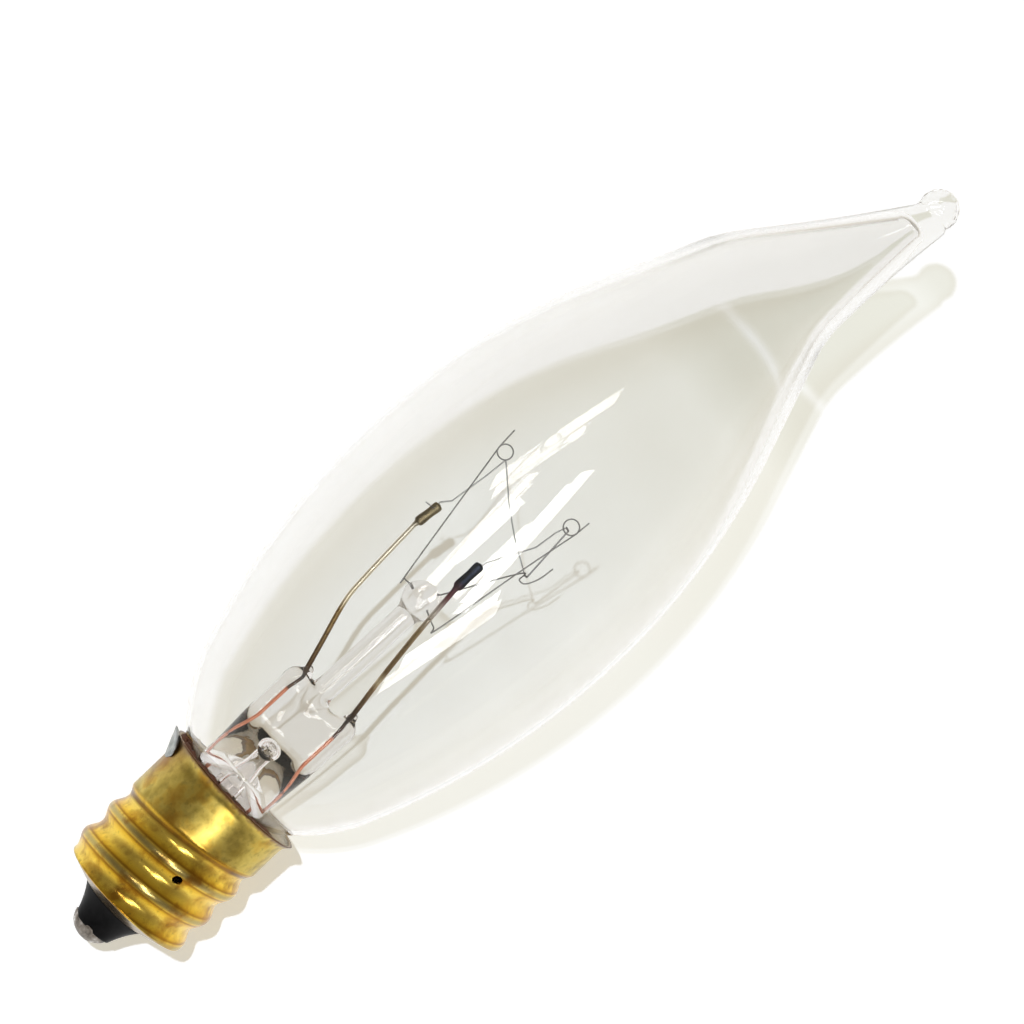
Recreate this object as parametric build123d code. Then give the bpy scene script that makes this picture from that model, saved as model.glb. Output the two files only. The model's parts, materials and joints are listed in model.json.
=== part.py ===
from build123d import *
from math import asin, atan, atan2, cos, degrees, hypot, radians, sin, sqrt, tan
import os

# Driving dimensions in millimetres and degrees.
# The bulb is drawn upright on its own axis, Z from the contact to the flame tip, with z = 0 at the cap's
# rim. X runs across the press, Y towards the side that faces up once the bulb lies down.

# Screw cap, candelabra size
THREAD_DIAMETER = 11.75
THREAD_DEPTH = 0.52
THREAD_PITCH = 2.54
THREAD_TURNS = 3
SHELL_WALL = 0.25
SHELL_MOUTH_DIAMETER = 6.0
SHELL_SLOPE = 20.0
SKIRT_DIAMETER = 11.45
SKIRT_HEIGHT = 4.08
RIM_DIAMETER = 12.4
RIM_FLARE_HEIGHT = 0.9
PINHOLE_DIAMETER = 0.7
PINHOLE_AZIMUTH = 114.0
CAP_SHIFT = 0.45
CAP_LEAN = 1.2

# Insulator, contact and solder
INSULATOR_NOSE_HEIGHT = 2.4
INSULATOR_TIP_DIAMETER = 3.4
INSULATOR_HOLLOW = 0.15
INSULATOR_PLUG_HEIGHT = 4.4
EYELET_DIAMETER = 2.6
EYELET_BORE = 0.7
EYELET_WALL = 0.25
EYELET_BARREL_HEIGHT = 1.2
TIP_SOLDER_DIAMETER = 2.0
TIP_SOLDER_HEIGHT = 0.85
SIDE_SOLDER_DIAMETER = 1.8
SIDE_SOLDER_DROP = 0.4
SIDE_SOLDER_AZIMUTH = 15.0
CEMENT_HEIGHT = 2.5

# Glass envelope, heights above the rim
NECK_WALL = 0.65
BELLY_WALL = 0.34
UNEVEN_ACROSS = -0.042
UNEVEN_UP = 0.06
NECK_DIAMETER = 8.6
NECK_DEPTH = 3.6
NECK_TOP_DEPTH = 1.4
SHOULDER_DIAMETER = 12.7
SHOULDER_HEIGHT = 1.2
BELLY_DIAMETER = 26.3
BELLY_HEIGHT = 27.25
LOWER_FLANK_START = 5.75
LOWER_FLANK_RADIUS = 61.0
UPPER_FLANK_END = 47.25
UPPER_FLANK_RADIUS = 55.0
BEND_HEIGHT = 54.6
BEND_RADIUS = 10.6
BEND_ANGLE = 19.3
TIP_HEIGHT = 14.4
TIP_SLOPE = 0.42
TIP_DIAMETER = 3.1
TIP_WALL = 0.5
TIP_SOLID_HEIGHT = 2.2
BEAD_DIAMETER = 3.2
BEAD_RISE = 0.79
BEAD_OFFSET = 0.41
TIP_SECTIONS = 10

# Stem, heights above the rim
STEM_DIAMETER = 6.8
STEM_WALL = 0.6
FLARE_HEIGHT = 1.6
FLARE_BAND = 0.6
PRESS_BOTTOM = 2.35
PRESS_SHOULDER = 5.6
PRESS_TOP = 9.65
PRESS_WIDTH = 7.2
PRESS_THICKNESS = 2.6
EXHAUST_DIAMETER = 2.6
EXHAUST_BORE = 1.4
EXHAUST_LENGTH = 7.3
BLOW_HOLE_DIAMETER = 1.9
BLOW_HOLE_HEIGHT = 3.85
ARBOR_DIAMETER = 1.9
ARBOR_LENGTH = 10.6
ARBOR_OFFSET = 0.55
BUTTON_DIAMETER = 3.3

# Wires
LEAD_SPACING = 5.0
INNER_LEAD_DIAMETER = 0.5
SEAL_WIRE_DIAMETER = 0.45
SEAL_WIRE_LENGTH = 5.9
OUTER_LEAD_DIAMETER = 0.3
OUTER_LEAD_DROP = 0.75
OUTER_LEAD_BEND = 0.3
SUPPORT_DIAMETER = 0.16
SUPPORT_BEND = 0.25
SUPPORT_LOOP_DIAMETER = 1.4
SUPPORT_LOOP_SWEEP = 300.0
FILAMENT_DIAMETER = 0.2
FILAMENT_BEND = 0.3
FILAMENT_STEP = 0.4
CLAMP_LENGTH = 2.3
LEAD_BEND = 5.0
FIT_CLEARANCE = 0.02

# Bends of the inner leads, as places over the middle of the press's top
LEFT_LEAD = [(2.5, 0.0, 1.2), (4.5, 0.0, 6.15), (5.2, 0.0, 16.35)]
RIGHT_LEAD = [(-2.5, 0.0, 0.6), (-1.5, 1.4, 5.35), (-0.75, 3.5, 12.35), (-0.55, 3.8, 16.25)]

# Knees and ends of the filament supports, as places from the middle of the arbor's button
SUPPORT_1 = [(2.15, -1.3, 0.15), (4.8, -2.2, 12.55)]
SUPPORT_2 = [(-2.4, 1.5, -0.55), (-4.4, 2.4, 11.95)]
SUPPORT_3 = [(-3.5, -2.6, 7.2), (-4.15, -2.6, 6.65), (-4.65, -2.6, 7.05), (-5.05, -2.6, 9.25)]

# Radii and heights that follow from the driving dimensions
thread_radius = THREAD_DIAMETER / 2
skirt_radius = SKIRT_DIAMETER / 2
neck_radius = NECK_DIAMETER / 2
belly_radius = BELLY_DIAMETER / 2
stem_radius = STEM_DIAMETER / 2

# The rolled thread is a wave of equal arcs, a quarter pitch to each side of a crest or a valley
wave_rise = THREAD_DEPTH / 2
wave_radius = ((THREAD_PITCH / 4) ** 2 + wave_rise**2) / (2 * wave_rise)
wave_angle = degrees(asin(THREAD_PITCH / 4 / wave_radius))

# The shell's bottom is a cone from its mouth to the round of the first crest
slope = radians(SHELL_SLOPE)
mouth_radius = SHELL_MOUTH_DIAMETER / 2
slope_width = thread_radius - wave_radius * (1 - sin(slope)) - mouth_radius

# Cap heights above the contact end
insulator_tip = TIP_SOLDER_HEIGHT + EYELET_WALL
shell_bottom = insulator_tip + INSULATOR_NOSE_HEIGHT
mouth_top = shell_bottom + SHELL_WALL / cos(slope)
first_crest = shell_bottom + slope_width * tan(slope) + wave_radius * cos(slope)
thread_top = first_crest + (THREAD_TURNS - 0.25) * THREAD_PITCH
cap_height = thread_top + SKIRT_HEIGHT
plug_top = mouth_top + INSULATOR_PLUG_HEIGHT
cap_seat = Pos(-CAP_SHIFT, 0, 0) * Rot(0, CAP_LEAN, 0) * Pos(0, 0, -cap_height)

# The lane for the side lead between the neck and the shell, on the side that the cap is shifted from
lane_outer = skirt_radius - SHELL_WALL - CAP_SHIFT - NECK_DEPTH * sin(radians(CAP_LEAN))
lead_lane = (neck_radius + lane_outer) / 2

# The lane for both outer leads inside the flare, between the exhaust tube and the flare's bore
flare_lane = (EXHAUST_DIAMETER / 2 + stem_radius - STEM_WALL) / 2


def revolved(edges):
    """Solid of revolution from a closed outline drawn as (radius, height)."""
    return revolve(Plane.XZ * make_face(edges), Axis.Z)


def slab(low, high):
    """Wide flat block between two heights, to cut solids to a span."""
    size = 2 * BELLY_DIAMETER
    return Pos(0, 0, low) * Box(size, size, high - low, align=(Align.CENTER, Align.CENTER, Align.MIN))


def wire(points, diameter, radii):
    """Round wire along straight runs joined by arcs."""
    path = FilletPolyline(*points, radius=radii)
    return sweep(Plane(path @ 0, z_dir=path % 0) * Circle(diameter / 2), path=path)


def polar(radius, azimuth, height):
    """Point at a distance from the axis, azimuth from +X."""
    return Vector(radius * cos(radians(azimuth)), radius * sin(radians(azimuth)), height)


# Cap


def shell_outline(inset):
    """Open outline of the shell from its mouth to its rim, a distance inside the outer surface."""
    crest_centre = thread_radius - wave_radius
    valley_centre = thread_radius - THREAD_DEPTH + wave_radius
    mouth = (mouth_radius, shell_bottom + inset / cos(slope))
    low_turn = SHELL_SLOPE - 90
    corner = CenterArc((crest_centre, first_crest), wave_radius - inset, low_turn, wave_angle - low_turn)
    edges = [Line(mouth, corner @ 0), corner]
    for turn in range(THREAD_TURNS):
        crest = first_crest + turn * THREAD_PITCH
        if turn > 0:
            edges.append(CenterArc((crest_centre, crest), wave_radius - inset, -wave_angle, 2 * wave_angle))
        valley = (valley_centre, crest + THREAD_PITCH / 2)
        edges.append(CenterArc(valley, wave_radius + inset, 180 + wave_angle, -2 * wave_angle))
    thread_end = edges[-1] @ 1
    skirt_inset = skirt_radius - inset
    skirt_start = thread_end.Y + (skirt_inset - thread_end.X) / tan(radians(wave_angle))
    flare_start = cap_height - RIM_FLARE_HEIGHT
    flare_width = RIM_DIAMETER / 2 - skirt_radius
    flare_radius = (flare_width**2 + RIM_FLARE_HEIGHT**2) / (2 * flare_width)
    flare_angle = 2 * degrees(atan(flare_width / RIM_FLARE_HEIGHT))
    edges.append(Line(thread_end, (skirt_inset, skirt_start)))
    edges.append(Line((skirt_inset, skirt_start), (skirt_inset, flare_start)))
    flare_centre = (skirt_radius + flare_radius, flare_start)
    edges.append(CenterArc(flare_centre, flare_radius + inset, 180, -flare_angle))
    return edges


def base_shell():
    outer = shell_outline(0)
    inner = shell_outline(SHELL_WALL)
    rim = Line(outer[-1] @ 1, inner[-1] @ 1)
    mouth = Line(outer[0] @ 0, inner[0] @ 0)
    shell = revolved(outer + [rim] + inner + [mouth])
    valley = first_crest + (THREAD_TURNS - 1.5) * THREAD_PITCH
    drill = Cylinder(PINHOLE_DIAMETER / 2, thread_radius, align=(Align.CENTER, Align.CENTER, Align.MIN))
    return shell - Pos(0, 0, valley) * Rot(0, 90, PINHOLE_AZIMUTH) * drill


def shell_inside():
    """Everything within the shell's inner surface."""
    inner = shell_outline(SHELL_WALL)
    low = inner[0] @ 0
    high = inner[-1] @ 1
    return revolved([
        *inner,
        Line(high, (0, high.Y)),
        Line((0, high.Y), (0, low.Y)),
        Line((0, low.Y), low),
    ])


def contact_eyelet():
    flange_top = TIP_SOLDER_HEIGHT + EYELET_WALL
    bore = EYELET_BORE / 2
    outline = Polyline(
        (bore, TIP_SOLDER_HEIGHT),
        (EYELET_DIAMETER / 2, TIP_SOLDER_HEIGHT),
        (EYELET_DIAMETER / 2, flange_top),
        (bore + EYELET_WALL, flange_top),
        (bore + EYELET_WALL, flange_top + EYELET_BARREL_HEIGHT),
        (bore, flange_top + EYELET_BARREL_HEIGHT),
        close=True,
    )
    return revolved(outline.edges())


def base_insulator():
    tip = (INSULATOR_TIP_DIAMETER / 2, insulator_tip)
    mouth = (mouth_radius, shell_bottom)
    nose = revolved([
        Line((0, insulator_tip), tip),
        SagittaArc(tip, mouth, INSULATOR_HOLLOW),
        Line(mouth, (mouth_radius, mouth_top)),
        Line((mouth_radius, mouth_top), (0, mouth_top)),
        Line((0, mouth_top), (0, insulator_tip)),
    ])
    plug = shell_inside() & slab(mouth_top, plug_top)
    bore = Cylinder(EYELET_BORE / 2, plug_top, align=(Align.CENTER, Align.CENTER, Align.MIN))
    return nose + plug - bore - contact_eyelet()


def tip_solder():
    edge = (TIP_SOLDER_DIAMETER / 2, TIP_SOLDER_HEIGHT)
    return revolved([
        EllipticalCenterArc((0, TIP_SOLDER_HEIGHT), edge[0], TIP_SOLDER_HEIGHT, 270, arc_size=90),
        Line(edge, (0, TIP_SOLDER_HEIGHT)),
        Line((0, TIP_SOLDER_HEIGHT), (0, 0)),
    ])


# Glass


lower_angle = degrees(asin((BELLY_HEIGHT - LOWER_FLANK_START) / LOWER_FLANK_RADIUS))
upper_angle = degrees(asin((UPPER_FLANK_END - BELLY_HEIGHT) / UPPER_FLANK_RADIUS))
cone_slope = tan(radians(upper_angle))
cone_radius = belly_radius - UPPER_FLANK_RADIUS * (1 - cos(radians(upper_angle)))
bend_rise = BEND_RADIUS * sin(radians(BEND_ANGLE))


def flank_outline(neck_inset, inset):
    """Open outline of the glass from the neck's end to the bend, a distance inside the outer surface."""
    lower = CenterArc((belly_radius - LOWER_FLANK_RADIUS, BELLY_HEIGHT), LOWER_FLANK_RADIUS - inset,
                      -lower_angle, lower_angle)
    upper = CenterArc((belly_radius - UPPER_FLANK_RADIUS, BELLY_HEIGHT), UPPER_FLANK_RADIUS - inset,
                      0, upper_angle)
    neck_end = (neck_radius - neck_inset, -NECK_DEPTH - neck_inset)
    neck_top = (neck_radius - neck_inset, -NECK_TOP_DEPTH)
    shoulder = (SHOULDER_DIAMETER / 2 - neck_inset, SHOULDER_HEIGHT)
    cone_start = upper @ 1
    cone_end = (cone_start.X - (BEND_HEIGHT - cone_start.Y) * cone_slope, BEND_HEIGHT)
    return [
        Line(neck_end, neck_top),
        Spline(neck_top, shoulder, lower @ 0, tangents=[(0, 1), lower % 0]),
        lower,
        upper,
        Line(cone_start, cone_end),
    ]


def tip_plane(rise):
    """Plane across the bulb over the tip's bent axis, at a rise above the start of the bend."""
    turned = min(rise, bend_rise)
    straight = rise - turned
    across = sqrt(BEND_RADIUS**2 - turned**2) - BEND_RADIUS - straight * tan(radians(BEND_ANGLE))
    return Plane((across, 0, BEND_HEIGHT + rise))


def tip_loft(start_radius, end_radius, height):
    """Bent cone from the flank's end that thins more and more slowly to its own end."""
    curve = (end_radius - start_radius + TIP_SLOPE * height) / height**2
    sections = []
    for step in range(TIP_SECTIONS):
        rise = height * step / (TIP_SECTIONS - 1)
        sections.append(tip_plane(rise) * Circle(start_radius - TIP_SLOPE * rise + curve * rise**2))
    return loft(sections)


def glass_body(neck_inset, inset, end_radius, tip_height):
    """Filled shape of the bulb, a distance inside its outer surface."""
    outline = flank_outline(neck_inset, inset)
    low = outline[0] @ 0
    high = outline[-1] @ 1
    body = revolved([
        *outline,
        Line(high, (0, high.Y)),
        Line((0, high.Y), (0, low.Y)),
        Line((0, low.Y), low),
    ])
    return body + tip_loft(high.X, end_radius, tip_height)


def glass_outside():
    bead = tip_plane(TIP_HEIGHT + BEAD_RISE) * Pos(BEAD_OFFSET, 0, 0) * Sphere(BEAD_DIAMETER / 2)
    return glass_body(0, 0, TIP_DIAMETER / 2, TIP_HEIGHT) + bead


def glass_inside():
    """Hollow of the bulb, off centre because the blown wall is thicker on the side that it lies on."""
    height = BELLY_HEIGHT + NECK_DEPTH
    off_centre = Rot(-degrees(atan(UNEVEN_UP / height)), degrees(atan(UNEVEN_ACROSS / height)), 0)
    tip_end_radius = (TIP_DIAMETER - TIP_WALL) / 2
    hollow = glass_body(NECK_WALL, BELLY_WALL, tip_end_radius, TIP_HEIGHT - TIP_SOLID_HEIGHT)
    return Pos(0, 0, -NECK_DEPTH) * off_centre * Pos(0, 0, NECK_DEPTH) * hollow


def stem_flare():
    inner_neck = neck_radius - NECK_WALL
    bore = stem_radius - STEM_WALL
    flare_start = (inner_neck, FLARE_BAND - NECK_DEPTH)
    flare_end = (stem_radius, FLARE_HEIGHT - NECK_DEPTH)
    tube = revolved([
        Line((bore, -NECK_DEPTH), (inner_neck, -NECK_DEPTH)),
        Line((inner_neck, -NECK_DEPTH), flare_start),
        Line(flare_start, flare_end),
        Line(flare_end, (stem_radius, PRESS_BOTTOM)),
        Line((stem_radius, PRESS_BOTTOM), (bore, PRESS_BOTTOM)),
        Line((bore, PRESS_BOTTOM), (bore, -NECK_DEPTH)),
    ])
    flat = SlotOverall(PRESS_WIDTH, PRESS_THICKNESS)
    squeeze = loft([Pos(0, 0, PRESS_BOTTOM) * Circle(stem_radius), Pos(0, 0, PRESS_SHOULDER) * flat])
    press = extrude(Pos(0, 0, PRESS_SHOULDER) * flat, PRESS_TOP - PRESS_SHOULDER)
    rising_bore = Pos(0, 0, PRESS_BOTTOM) * Cylinder(
        EXHAUST_BORE / 2, BLOW_HOLE_HEIGHT - PRESS_BOTTOM, align=(Align.CENTER, Align.CENTER, Align.MIN))
    blow_hole = Pos(0, 0, BLOW_HOLE_HEIGHT) * Rot(-90, 0, 0) * Cylinder(
        BLOW_HOLE_DIAMETER / 2, stem_radius, align=(Align.CENTER, Align.CENTER, Align.MIN))
    return tube + squeeze + press - rising_bore - blow_hole


def exhaust_tube():
    outer = EXHAUST_DIAMETER / 2
    inner = EXHAUST_BORE / 2
    tip_middle = PRESS_BOTTOM - EXHAUST_LENGTH + outer
    return revolved([
        Line((inner, PRESS_BOTTOM), (outer, PRESS_BOTTOM)),
        Line((outer, PRESS_BOTTOM), (outer, tip_middle)),
        CenterArc((0, tip_middle), outer, 270, 90),
        Line((0, tip_middle - outer), (0, tip_middle - inner)),
        CenterArc((0, tip_middle), inner, 270, 90),
        Line((inner, tip_middle), (inner, PRESS_BOTTOM)),
    ])


def arbor_rod():
    rod = Cylinder(ARBOR_DIAMETER / 2, ARBOR_LENGTH, align=(Align.CENTER, Align.CENTER, Align.MIN))
    button = Pos(0, 0, ARBOR_LENGTH) * Sphere(BUTTON_DIAMETER / 2)
    return Pos(ARBOR_OFFSET, 0, PRESS_TOP) * (rod + button)


# Wires


seal_top = PRESS_BOTTOM + SEAL_WIRE_LENGTH
lead_x = LEAD_SPACING / 2
fold_pitch = INNER_LEAD_DIAMETER + FILAMENT_DIAMETER + FIT_CLEARANCE
button_middle = Vector(ARBOR_OFFSET, 0, PRESS_TOP + ARBOR_LENGTH)


def over_press(places):
    return [Vector(*place) + Vector(0, 0, PRESS_TOP) for place in places]


def from_button(places):
    return [button_middle + Vector(*place) for place in places]


def seal_wire(x):
    rod = Cylinder(SEAL_WIRE_DIAMETER / 2, SEAL_WIRE_LENGTH, align=(Align.CENTER, Align.CENTER, Align.MIN))
    return Pos(x, 0, PRESS_BOTTOM) * rod


def fold(places):
    """Top of a lead, the way it runs there and the way its end folds back beside it."""
    bends = over_press(places)
    along = (bends[-1] - bends[-2]).normalized()
    aside = along.cross(Vector(0, 1, 0)).normalized()
    return bends[-1], along, aside


def inner_lead(x, places):
    """Lead from its seal wire through its bends, folded back at the top to pinch the filament."""
    top, along, aside = fold(places)
    over = top + aside * fold_pitch
    points = [Vector(x, 0, seal_top), *over_press(places), over, over - along * CLAMP_LENGTH]
    radii = [LEAD_BEND] * (len(places) - 1) + [fold_pitch / 2 - FIT_CLEARANCE] * 2
    return wire(points, INNER_LEAD_DIAMETER, radii)


def outer_lead_left():
    """Side lead, down the flare, round the neck's end and up to the solder on the rim."""
    below = -NECK_DEPTH - OUTER_LEAD_DROP
    rim_gap = SHELL_WALL + CAP_SHIFT + OUTER_LEAD_DIAMETER / 2 + 6 * FIT_CLEARANCE
    points = [
        Vector(lead_x, 0, PRESS_BOTTOM),
        Vector(lead_x, 0, PRESS_BOTTOM - OUTER_LEAD_DROP),
        polar(flare_lane, SIDE_SOLDER_AZIMUTH, below),
        polar(lead_lane, SIDE_SOLDER_AZIMUTH, below),
        polar(lead_lane, SIDE_SOLDER_AZIMUTH, -RIM_FLARE_HEIGHT),
        polar(RIM_DIAMETER / 2 - rim_gap, SIDE_SOLDER_AZIMUTH, 0),
    ]
    return wire(points, OUTER_LEAD_DIAMETER, [OUTER_LEAD_BEND] * (len(points) - 2))


def outer_lead_right():
    """Centre lead, down the flare and through the insulator to the contact."""
    over_plug = cap_seat * Pos(0, 0, plug_top + OUTER_LEAD_DROP)
    at_contact = cap_seat * Pos(0, 0, TIP_SOLDER_HEIGHT)
    points = [
        Vector(-lead_x, 0, PRESS_BOTTOM),
        Vector(-lead_x, 0, PRESS_BOTTOM - OUTER_LEAD_DROP),
        polar(flare_lane, 180, -NECK_DEPTH),
        over_plug.position,
        at_contact.position,
    ]
    return wire(points, OUTER_LEAD_DIAMETER, [OUTER_LEAD_BEND] * (len(points) - 2))


def support_foot(knee):
    """Inner end of a support, half way into the button towards its knee."""
    return button_middle + (knee - button_middle).normalized() * (BUTTON_DIAMETER / 4)


def loop_plane(places):
    """Plane of a support's end loop, its X axis at the place where the loop starts."""
    knee, end = from_button(places)
    along = (end - knee).normalized()
    normal = along.cross(Vector(-end.X, 0, 0)).normalized()
    inward = normal.cross(along)
    return Plane(end + inward * (SUPPORT_LOOP_DIAMETER / 2), x_dir=-inward, z_dir=normal)


def looped_support(places):
    """Fine wire from the button over a sharp knee to an end loop that turns towards the axis."""
    knee, end = from_button(places)
    run = FilletPolyline(support_foot(knee), knee, end, radius=SUPPORT_BEND)
    loop = loop_plane(places) * CenterArc((0, 0), SUPPORT_LOOP_DIAMETER / 2, 0, SUPPORT_LOOP_SWEEP)
    path = Wire([*run.edges(), *loop.edges()])
    return sweep(Plane(path @ 0, z_dir=path % 0) * Circle(SUPPORT_DIAMETER / 2), path=path)


def hooked_support(places):
    """Fine wire straight from the button to an open hook."""
    points = from_button(places)
    return wire([support_foot(points[0]), *points], SUPPORT_DIAMETER, [SUPPORT_BEND] * (len(points) - 1))


def clamp_run(places, side):
    """Filament's way out of a folded lead: up the fold, then out in front of it or behind it."""
    top, along, aside = fold(places)
    middle = top + aside * (fold_pitch / 2)
    out = Vector(0, side * (INNER_LEAD_DIAMETER + FILAMENT_DIAMETER), 0)
    return [middle - along * CLAMP_LENGTH, middle - along * (CLAMP_LENGTH / 2), middle + out]


def filament():
    """Coil, drawn as a plain round wire, over both loops and through the hook between them."""
    hook_low, hook_far = from_button(SUPPORT_3)[1:3]
    in_hook = (hook_low + hook_far) / 2 + Vector(0, 0, SUPPORT_BEND + FILAMENT_DIAMETER)
    loop_drop = Vector(0, 0, SUPPORT_LOOP_DIAMETER / 4)
    first_loop = loop_plane(SUPPORT_1).origin - loop_drop
    second_loop = loop_plane(SUPPORT_2).origin - loop_drop
    step = Vector(0, FILAMENT_STEP, 0)
    points = [
        *clamp_run(LEFT_LEAD, -1),
        first_loop + step,
        first_loop - step,
        in_hook - step,
        in_hook + step,
        second_loop - step,
        second_loop + step,
        *reversed(clamp_run(RIGHT_LEAD, 1)),
    ]
    return wire(points, FILAMENT_DIAMETER, [FILAMENT_BEND] * (len(points) - 2))


def basing_cement(neck, side_lead):
    fill = shell_inside() & slab(cap_height - RIM_FLARE_HEIGHT - CEMENT_HEIGHT, cap_height - RIM_FLARE_HEIGHT)
    return cap_seat * fill - neck - side_lead


def side_solder(*around):
    middle = polar(RIM_DIAMETER / 2 - CAP_SHIFT, SIDE_SOLDER_AZIMUTH, -SIDE_SOLDER_DROP)
    blob = Pos(*middle) * Sphere(SIDE_SOLDER_DIAMETER / 2)
    for piece in around:
        blob -= piece
    return blob


def rest_tilt():
    """Rise of the axis when the belly and the lowest thread crest lie on the same floor."""
    crest_height = first_crest - cap_height
    run = BELLY_HEIGHT - crest_height
    drop = (belly_radius - LOWER_FLANK_RADIUS) - (thread_radius - wave_radius)
    return asin((LOWER_FLANK_RADIUS - wave_radius) / hypot(run, drop)) + atan2(drop, run)


def lying(nodes):
    """Place of the bulb's own axes once it lies down, tip along +X, over the middle of its outline."""
    tilt = rest_tilt()
    rise = BELLY_HEIGHT * sin(tilt) - (belly_radius - LOWER_FLANK_RADIUS) * cos(tilt) - LOWER_FLANK_RADIUS
    laid = Plane((0, 0, -rise), x_dir=(0, 1, 0), z_dir=(cos(tilt), 0, sin(tilt))).location
    boxes = [(laid * piece).bounding_box() for piece in nodes.values()]
    middle_x = (min(box.min.X for box in boxes) + max(box.max.X for box in boxes)) / 2
    middle_y = (min(box.min.Y for box in boxes) + max(box.max.Y for box in boxes)) / 2
    return Pos(-middle_x, -middle_y, 0) * laid


def build():
    outside = glass_outside()
    envelope = outside - glass_inside()
    shell = cap_seat * base_shell()
    leads = {
        "inner_lead_left": inner_lead(lead_x, LEFT_LEAD),
        "inner_lead_right": inner_lead(-lead_x, RIGHT_LEAD),
        "seal_wire_left": seal_wire(lead_x),
        "seal_wire_right": seal_wire(-lead_x),
        "outer_lead_left": outer_lead_left(),
        "outer_lead_right": outer_lead_right(),
    }
    supports = {
        "filament_support_1": looped_support(SUPPORT_1),
        "filament_support_2": looped_support(SUPPORT_2),
        "filament_support_3": hooked_support(SUPPORT_3),
    }
    stem = stem_flare()
    for lead in leads.values():
        stem -= lead
    arbor = arbor_rod()
    for support in supports.values():
        arbor -= support
    nodes = {
        "glass_envelope": envelope,
        "stem_flare": stem,
        "exhaust_tube": exhaust_tube(),
        "arbor_rod": arbor,
        **leads,
        **supports,
        "filament": filament(),
        "base_shell": shell,
        "base_insulator": cap_seat * base_insulator(),
        "contact_eyelet": cap_seat * contact_eyelet(),
        "tip_solder": cap_seat * tip_solder(),
        "side_solder": side_solder(shell, outside, leads["outer_lead_left"]),
        "basing_cement": basing_cement(outside, leads["outer_lead_left"]),
    }
    place = lying(nodes)
    return {name: place * piece for name, piece in nodes.items()}


os.makedirs("parts", exist_ok=True)
for name, piece in build().items():
    piece.label = name
    export_step(piece, f"parts/{name}.step")
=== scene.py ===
"""The candle bulb's looks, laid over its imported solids."""

import json
from math import asin, atan2, cos, pi, radians, sin, sqrt, tan

import bpy
import numpy as np
from mathutils import Matrix, Vector


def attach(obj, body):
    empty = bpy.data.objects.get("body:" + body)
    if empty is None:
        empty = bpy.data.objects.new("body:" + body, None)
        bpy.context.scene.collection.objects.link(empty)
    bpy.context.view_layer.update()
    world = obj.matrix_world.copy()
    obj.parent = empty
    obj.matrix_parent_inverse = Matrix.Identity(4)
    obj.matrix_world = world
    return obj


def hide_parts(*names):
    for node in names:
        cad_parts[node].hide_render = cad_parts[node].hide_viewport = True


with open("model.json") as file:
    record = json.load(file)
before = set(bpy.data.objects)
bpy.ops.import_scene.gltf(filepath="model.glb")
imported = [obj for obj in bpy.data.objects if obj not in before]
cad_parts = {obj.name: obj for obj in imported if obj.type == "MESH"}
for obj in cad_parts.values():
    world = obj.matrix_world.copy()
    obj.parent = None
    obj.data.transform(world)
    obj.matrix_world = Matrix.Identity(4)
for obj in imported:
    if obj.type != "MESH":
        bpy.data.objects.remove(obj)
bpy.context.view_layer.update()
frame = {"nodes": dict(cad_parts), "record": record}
scene = bpy.context.scene
MM = 0.001

# Bulb sizes in millimetres, along from the cap's rim to the tip
NECK_RADIUS = 4.3
NECK_DEPTH = 3.6
NECK_TOP_DEPTH = 1.4
NECK_WALL = 0.65
SHOULDER_RADIUS = 6.35
SHOULDER_HEIGHT = 1.2
SHOULDER_SLOPE = 0.95
BELLY_RADIUS = 13.15
BELLY_HEIGHT = 27.25
BELLY_WALL = 0.34
LOWER_FLANK_START = 5.75
LOWER_FLANK_RADIUS = 61
UPPER_FLANK_END = 47.25
UPPER_FLANK_RADIUS = 55
BEND_HEIGHT = 54.6
BEND_RADIUS = 10.6
BEND_ANGLE = radians(19.3)
TIP_HEIGHT = 14.4
TIP_SLOPE = 0.42
TIP_RADIUS = 1.55
TIP_HOLLOW_HEIGHT = 12.2
TIP_HOLLOW_RADIUS = 1.0
TIP_HOLLOW_END = 0.8
TIP_EXTRA_WALL = 0.38
EXTRA_WALL_START = 36
BEAD_RADIUS = 1.6
BEAD_RISE = 15.19
BEAD_OFFSET = 0.41
BEAD_OVERLAP = 0.25
BEAD_START = -0.42
BEAD_LUMPS_SPAN = (-0.4, 0.2)
BEAD_POLE_GAP = 0.04
HOLLOW_POLE_GAP = 0.06

STEM_RADIUS = 3.4
STEM_WALL = 0.6
FLARE_TOP = -2.0
FLARE_RADIUS = 3.65
FOOT_GAP = 0.05
FUNNEL_SPAN = (-0.6, 3.6)
FUNNEL_TOP = 3.2
FUNNEL_POINT = 0.1
PRESS_BOTTOM = 2.35
PRESS_TAPER = 1.2
PRESS_SHOULDER = 5.6
PRESS_TOP = 9.65
PRESS_HALF_WIDTH = 3.6
PRESS_HALF_THICKNESS = 1.3
PRESS_DIP = 0.35
PRESS_DIP_RATE = 0.75
EXHAUST_RADIUS = 1.3
EXHAUST_BORE = 0.7
EXHAUST_BOTTOM = -4.95
EXHAUST_TOP = 4.2
BLOW_HOLE_RADIUS = 0.95
BLOW_HOLE_HEIGHT = 3.85
BLOW_HOLE_UP = 0.85
LEAD_ACROSS = 2.5
NUB_ROOT = 0.6
NUB_RISE = 0.7
NUB_RADIUS = 1.0
NUB_END_RADIUS = 0.36
ARBOR_RADIUS = 0.95
ARBOR_ACROSS = 0.55
ARBOR_ROOT = 0.8
BUTTON_HEIGHT = 20.25
BUTTON_RADIUS = 1.65
BUTTON_FLATNESS = 1.1

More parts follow.
